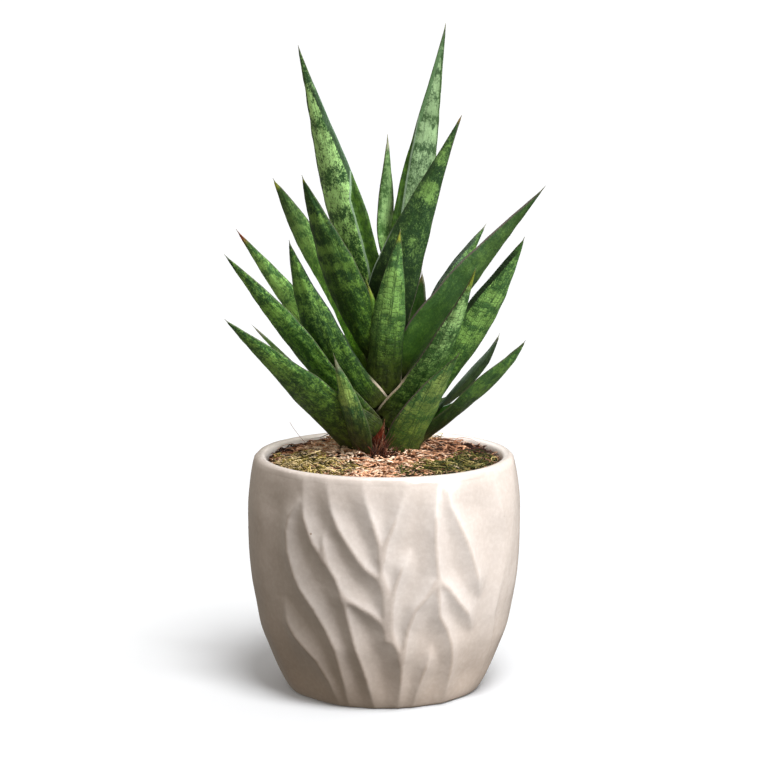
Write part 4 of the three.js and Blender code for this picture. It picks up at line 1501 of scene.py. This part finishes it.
MOSS = StrawFinish("moss_skin", (
    (0.010, 0.007, 0.002), (0.040, 0.034, 0.006), (0.15, 0.12, 0.016), (0.50, 0.38, 0.09),
    (0.92, 0.72, 0.36)))
GREEN_MOSS = StrawFinish("moss_green_skin", (
    (0.009, 0.009, 0.002), (0.030, 0.040, 0.006), (0.085, 0.095, 0.012), (0.22, 0.19, 0.03),
    (0.50, 0.40, 0.15)))
STRAW = StrawFinish("coir_chips_skin", (
    (0.030, 0.011, 0.005), (0.24, 0.095, 0.042), (0.68, 0.33, 0.165), (0.92, 0.55, 0.34),
    (0.99, 0.78, 0.57)))


@dataclass
class Dressing:
    """The coir bed with its loose chips and fibres, and the moss on it. Sizes are in millimetres."""

    edge_height: float = 114.2
    crown_height: float = 120.2
    crown_radius: float = 16.0
    inner: float = 18.5
    outer: float = 59.4
    gap: float = 0.35
    thickness: float = 2.6
    heap: float = 2.6
    heap_radii: Pair = (31, 20)
    rows: int = 56
    columns: int = 300
    seed: int = 4207
    chips: Strands = Strands(3800, (2.2, 8.0), (0.7, 1.8), 0.4, (0.0, 2.4), 1.3, 0.6, 5, 5, 21)
    fibres: Strands = Strands(260, (7, 17), (0.22, 0.42), 0.9, (0.8, 2.2), 1.2, 0.9, 7, 4, 31)
    leaflets: Strands = Strands(1200, (1.2, 3.0), (0.5, 1.1), 0.4, (0.2, 2.6), 0.8, 0.8, 4, 4, 40)
    runners: Strands = Strands(420, (4, 13), (0.40, 0.80), 0.6, (1.0, 3.6), 2.4, 1.4, 7, 4, 50)
    moss_seed: int = 60
    dark_spots: tuple[Spot, ...] = (
        Spot((-118, 26), (55, 9), 1.5), Spot((104, 20), (53, 9), 0.65), Spot((46, 27), (51, 9), 0.55),
    )
    hair_root: Triple = (-39.0, 36, 118)
    hair_reach: Triple = (-10.5, 1, 13)
    hair_bow: Triple = (-3.0, 0, 0)
    hair_radius: float = 0.13
    patches: tuple[MossPatch, ...] = (
        MossPatch("moss_front_left", (-82, -24), (39, 58.6), MOSS, 0.66),
        MossPatch("moss_front_right", (16, 82), (41, 58.6), GREEN_MOSS, 0.45),
        MossPatch("moss_back", (150, 210), (36, 58.6), MOSS, 0.5),
    )

    def mix_height(self, radius: Array) -> Array:
        """The potting mix's height: a straight fall from the crown to the edge."""
        share = np.clip((radius - self.crown_radius) / (self.outer - self.crown_radius), 0, 1)
        return lerp(self.crown_height, self.edge_height, share)

    def height(self, azimuth: Array, radius: Array) -> Array:
        """The bed's top: the mix, the bed's thickness, a heap round the crown, and lumps of two sizes.

        Args:
            azimuth: The places' azimuths.
            radius: Their radii.

        Returns:
            The heights.
        """
        spot = polar(azimuth, radius, 0)
        lumps = 0.45 * ripples(spot, 13, self.seed) + 0.28 * ripples(spot, 4.5, self.seed + 1)
        heap = self.heap * smooth(*self.heap_radii, radius)
        return self.mix_height(radius) + self.gap + self.thickness + heap + lumps

    def bed(self) -> Surface:
        """The bed as a closed ring: its rows run over the top from the outer edge to the inner, then below.

        Returns:
            The surface, facing outward.
        """
        radius = np.linspace(self.outer, self.inner, self.rows)[:, None]
        azimuth = np.linspace(0, 360, self.columns, endpoint=False)[None, :]
        azimuth, radius = np.broadcast_arrays(azimuth, radius)
        crumbs = 0.25 * ripples(polar(azimuth, radius, 0), 1.8, 9)
        top = polar(azimuth, radius, self.height(azimuth, radius) + crumbs)
        ends = radius[[-1, 0]]
        low = polar(azimuth[[-1, 0]], ends, self.mix_height(ends) + self.gap)
        points = np.concatenate([top, low]).reshape(-1, 3)
        quads = tube_quads(self.rows + 2, self.columns, joined=True)
        return Surface(points, quads, np.empty((0, 3), int)).outward()

    def strands(self, kind: Strands, where: Scatter, turn: int = 0) -> Array:
        """Many short strands lying on the bed, each curling sideways and arching upward.

        A strand's middle line runs s from -1/2 to 1/2 of its length along its own direction. It is moved
        sideways by curl * s^2 and upward by arch * (1/4 - s^2), both times its length. Its section is a flat
        ellipse that thins to both ends. What lies outside the dressing is pulled in to its edge.

        Args:
            kind: The strands' sizes.
            where: Gives the strands' azimuths and radii.
            turn: What is added to their seed.

        Returns:
            Points as (count, stations, around, 3).
        """
        rng = np.random.default_rng(kind.seed + turn)
        count = kind.count
        azimuth, radius = where(rng, count)
        centre = polar(azimuth, radius, self.height(azimuth, radius) + rng.uniform(*kind.lift, count))
        heading = rng.uniform(0, 2 * np.pi, count)
        pitch = rng.normal(0, 0.22, count)
        level = np.cos(pitch)
        forward = np.stack([np.cos(heading) * level, np.sin(heading) * level, np.sin(pitch)], axis=-1)
        side = np.stack([-np.sin(heading), np.cos(heading), np.zeros(count)], axis=-1)
        up = np.cross(forward, side)
        roll = rng.normal(0, 0.5, count)[:, None]
        flat = side * np.cos(roll) + up * np.sin(roll)
        thick = up * np.cos(roll) - side * np.sin(roll)
        size = rng.uniform(*kind.length, count)[:, None, None]
        broad = rng.uniform(*kind.breadth, count)[:, None, None]
        s = np.linspace(-0.5, 0.5, kind.stations)[None, :, None]
        bend = rng.normal(0, kind.curl, count)[:, None, None] * s**2
        rise = rng.uniform(-0.3, 1, count)[:, None, None] * kind.arch * (0.25 - s**2)
        line = centre[:, None] + size * (s * forward[:, None] + bend * side[:, None] + rise * up[:, None])
        half = (broad * (0.35 + 0.65 * np.sqrt(np.maximum(0, 1 - (2 * s) ** 2))) / 2)[..., None]
        ring = circle(kind.around)[:, None]
        wide = half * np.cos(ring) * flat[:, None, None]
        high = half * kind.thickness * np.sin(ring) * thick[:, None, None]
        points = line[:, :, None] + wide + high
        reach = np.linalg.norm(points[..., :2], axis=-1, keepdims=True)
        points[..., :2] *= np.minimum(1, (self.outer - 0.1) / np.maximum(reach, 1e-6))
        return points

    def anywhere(self, rng: np.random.Generator, count: int) -> tuple[Array, Array]:
        """Azimuths and radii spread evenly over the bed."""
        share = rng.uniform((self.inner / self.outer) ** 2, 1, count)
        return rng.uniform(-180, 180, count), (self.outer - 1.2) * np.sqrt(share)

    def chip_tints(self, chips: Array) -> Array:
        """How pale each chip is: painted light on the middle left, where the leaves shade the chips, painted
        shade at the back right, where the key light falls, and darker in the dark spots.

        Args:
            chips: The chips' points.

        Returns:
            A number from 0 to 1 for each chip.
        """
        x, y, _ = chips[:, 0, 0].T
        azimuth, radius = np.degrees(np.arctan2(x, -y)), np.hypot(x, y)
        tint = np.random.default_rng(self.chips.seed + 1).beta(1.6, 1.0, len(chips))
        # painted light: chips on the left, in the leaves' shade, are made paler
        left = smooth(-5, -40, azimuth) * smooth(-165, -120, azimuth) * smooth(54, 46, radius)
        # painted shade: chips at the back right, in the key light, are made darker
        painted_shade_right_back = smooth(55, 95, azimuth) * smooth(175, 140, azimuth)
        dark = sum(spot.shade(azimuth, radius) for spot in self.dark_spots)
        return np.clip(tint + 0.38 * left - 0.34 * painted_shade_right_back - dark, 0, 1)

    def hair(self) -> Array:
        """The one long fibre that stands over the rim: root + t * reach + (t - t^2) * bow, as a thin tube.

        Returns:
            Points as (1, stations, around, 3).
        """
        root, reach, bow = map(np.array, (self.hair_root, self.hair_reach, self.hair_bow))
        t = np.linspace(0, 1, self.fibres.stations)[:, None]
        line = root + t * reach + (t - t**2) * bow
        turn = circle(self.fibres.around)
        ring = self.hair_radius * np.stack([np.cos(turn), np.sin(turn), np.zeros_like(turn)], axis=-1)
        return (line[:, None] + ring)[None]

    def build_coir(self) -> None:
        """Adds the bed, the chips and the fibres."""
        ground = GroundFinish("coir_ground", (0.022, 0.009, 0.005), (0.14, 0.062, 0.034))
        add_piece("coir_bed", self.bed(), ground.material(), ["coir_dressing"])
        chips = self.strands(self.chips, self.anywhere)
        straw = STRAW.material()
        add_piece("coir_chips", swarm(chips, self.chip_tints(chips)), straw)
        fibres = np.concatenate([self.strands(self.fibres, self.anywhere), self.hair()])
        tint = np.random.default_rng(self.fibres.seed + 1).uniform(0.3, 1, len(fibres))
        add_piece("coir_fibres", swarm(fibres, tint), straw)

    def build_moss(self) -> None:
        """Adds the moss patches: a lumpy cushion of short leaflets with long strands over it."""
        for i, patch in enumerate(self.patches):
            rng = np.random.default_rng(self.moss_seed + i)
            material = patch.finish.material()
            layers = {
                "leaflets": (self.leaflets, -0.42, 0.24, [patch.node]),
                "strands": (self.runners, 0.02, 0.40, []),
            }
            for layer, (kind, paler, variety, replaces) in layers.items():
                strands = self.strands(kind, patch.spread, i)
                tint = np.clip(rng.normal(patch.paleness + paler, variety, kind.count), 0, 1)
                add_piece(f"{patch.node}_{layer}", swarm(strands, tint), material, replaces)

    def build(self) -> None:
        """Adds the coir and the moss."""
        self.build_coir()
        self.build_moss()


def dress_frame_nodes() -> None:
    """Gives the nodes that stay as they are, the potting mix and the stem, their finishes."""
    finishes = {
        "potting_mix": GroundFinish("potting_mix_skin", (0.012, 0.007, 0.004), (0.060, 0.035, 0.020)),
        "stem": GroundFinish("stem_skin", (0.030, 0.032, 0.008), (0.11, 0.10, 0.035), 300.0),
    }
    for node, finish in finishes.items():
        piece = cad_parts[node]
        piece.data.materials.clear()
        piece.data.materials.append(finish.material())


# ---------------------------------------------------------------- studio


@dataclass(frozen=True)
class Sunlight:
    """A broad, distant light: where it shines from and the angle that it fills, in degrees."""

    name: str
    power: float
    azimuth: float
    elevation: float
    softness: float
    colour: Colour = (0.98, 1.0, 1.07)

    def add(self) -> bpy.types.Object:
        """Adds the light.

        Returns:
            Its object.
        """
        data = bpy.data.lights.new(self.name, "SUN")
        data.energy = self.power
        data.angle = math.radians(self.softness)
        data.color = self.colour
        light = show(self.name, data)
        light.rotation_euler = (math.radians(90 - self.elevation), 0, math.radians(self.azimuth))
        return light


@dataclass(frozen=True)
class Panel:
    """A soft rectangular light that faces the plant. Distances are in metres."""

    name: str = "right_panel"
    azimuth: float = 64
    reach: float = 0.95
    height: float = 0.27
    size: Pair = (0.36, 0.34)
    power: float = 2.6
    aim_height: float = 0.14

    def add(self) -> bpy.types.Object:
        """Adds the panel.

        Returns:
            Its object.
        """
        data = bpy.data.lights.new(self.name, "AREA")
        data.shape = "RECTANGLE"
        data.size, data.size_y = self.size
        data.energy = self.power
        light = show(self.name, data)
        spot = polar(self.azimuth, self.reach, self.height)
        light.location = spot.tolist()
        x, y, z = np.array([0, 0, self.aim_height]) - spot
        light.rotation_euler = (math.atan2(math.hypot(x, y), -z), 0, math.atan2(y, x) - math.pi / 2)
        return light


@dataclass
class Studio:
    """The pale floor, the lights and the camera, placed as for the photograph. Distances are in metres."""

    distance: float = 1.40
    eye_height: float = 0.393
    pitch: float = 9.54
    focal_share: float = 2778 / 768
    sensor: float = 36.0
    far_end: float = 100.0
    floor_half: float = 30.0
    floor_colours: tuple[Colour, Colour] = ((0.785, 0.86, 0.965), (0.805, 0.88, 0.985))
    sky: float = 0.55
    sky_colour: Colour = (1.0, 0.90, 0.79)
    room_below: float = 0.27
    room_left: float = 0.97
    key: Sunlight = Sunlight("key_light", 3.9, 50, 38, 36)
    top: Sunlight = Sunlight("top_light", 2.9, 55, 70, 58)
    low: Sunlight = Sunlight("floor_light", 2.85, 25, 64, 25, (1.0, 0.93, 0.85))

    def room(self) -> None:
        """Adds the room's own light: bright above, dim below, and a little dimmer on the left."""
        world = bpy.data.worlds.new("studio")
        world.use_nodes = True
        g = Graph(world.node_tree)
        x, _, z = g.split(g.place("Generated"))
        upward = g.step(z, -0.45, 0.35, (self.room_below, 1.0))
        rightward = g.step(x, -0.45, 0.35, (self.room_left, 1.0))
        background = g.tree.nodes["Background"]
        g.put(background.inputs["Color"], self.sky_colour)
        g.put(background.inputs["Strength"], g.times(upward, rightward, self.sky))
        bpy.context.scene.world = world

    def camera(self) -> None:
        """Adds the camera at the photograph's viewing angle."""
        data = bpy.data.cameras.new("camera")
        data.sensor_width = self.sensor
        data.lens = self.sensor * self.focal_share
        data.clip_end = self.far_end
        camera = show("camera", data)
        camera.location = (0, -self.distance, self.eye_height)
        camera.rotation_euler = (math.radians(90 - self.pitch), 0, 0)
        bpy.context.scene.camera = camera

    def floor(self) -> bpy.types.Object:
        """Adds a wide, plain, pale floor.

        Returns:
            Its object.
        """
        half = self.floor_half
        mesh = bpy.data.meshes.new("floor")
        corners = [(-half, -half, 0), (half, -half, 0), (half, half, 0), (-half, half, 0)]
        mesh.from_pydata(corners, [], [(0, 1, 2, 3)])
        g = Skin("floor_paint")
        mesh.materials.append(g.dress(g.mix(g.noise(g.place(), 3.0), *self.floor_colours), 0.9, 0.1))
        floor = show("floor", mesh)
        floor.visible_diffuse = False
        floor.visible_glossy = False
        return floor

    def flag(self, light: bpy.types.Object, target: bpy.types.Object, state: str) -> None:
        """Keeps a light off one object, or on it alone, as a studio's flags would.

        Args:
            light: The light.
            target: The object.
            state: EXCLUDE or INCLUDE.
        """
        flagged = bpy.data.collections.new(f"{light.name}_flag")
        flagged.objects.link(target)
        light.light_linking.receiver_collection = flagged
        flagged.collection_objects[0].light_linking.link_state = state

    def build(self) -> None:
        """Adds the sky, the floor, the lights and the camera."""
        self.room()
        bpy.context.scene.view_settings.view_transform = "Standard"
        floor = self.floor()
        for light in (self.key, self.top, Panel()):
            self.flag(light.add(), floor, "EXCLUDE")
        self.flag(self.low.add(), floor, "INCLUDE")
        self.camera()


def main() -> None:
    """Builds the scene in order."""
    logging.basicConfig(level=logging.INFO, format="%(name)s: %(message)s")
    Studio().build()
    Pot().build()
    dress_frame_nodes()
    Dressing().build()
    Foliage().build()


if __name__ == "__main__":
    main()
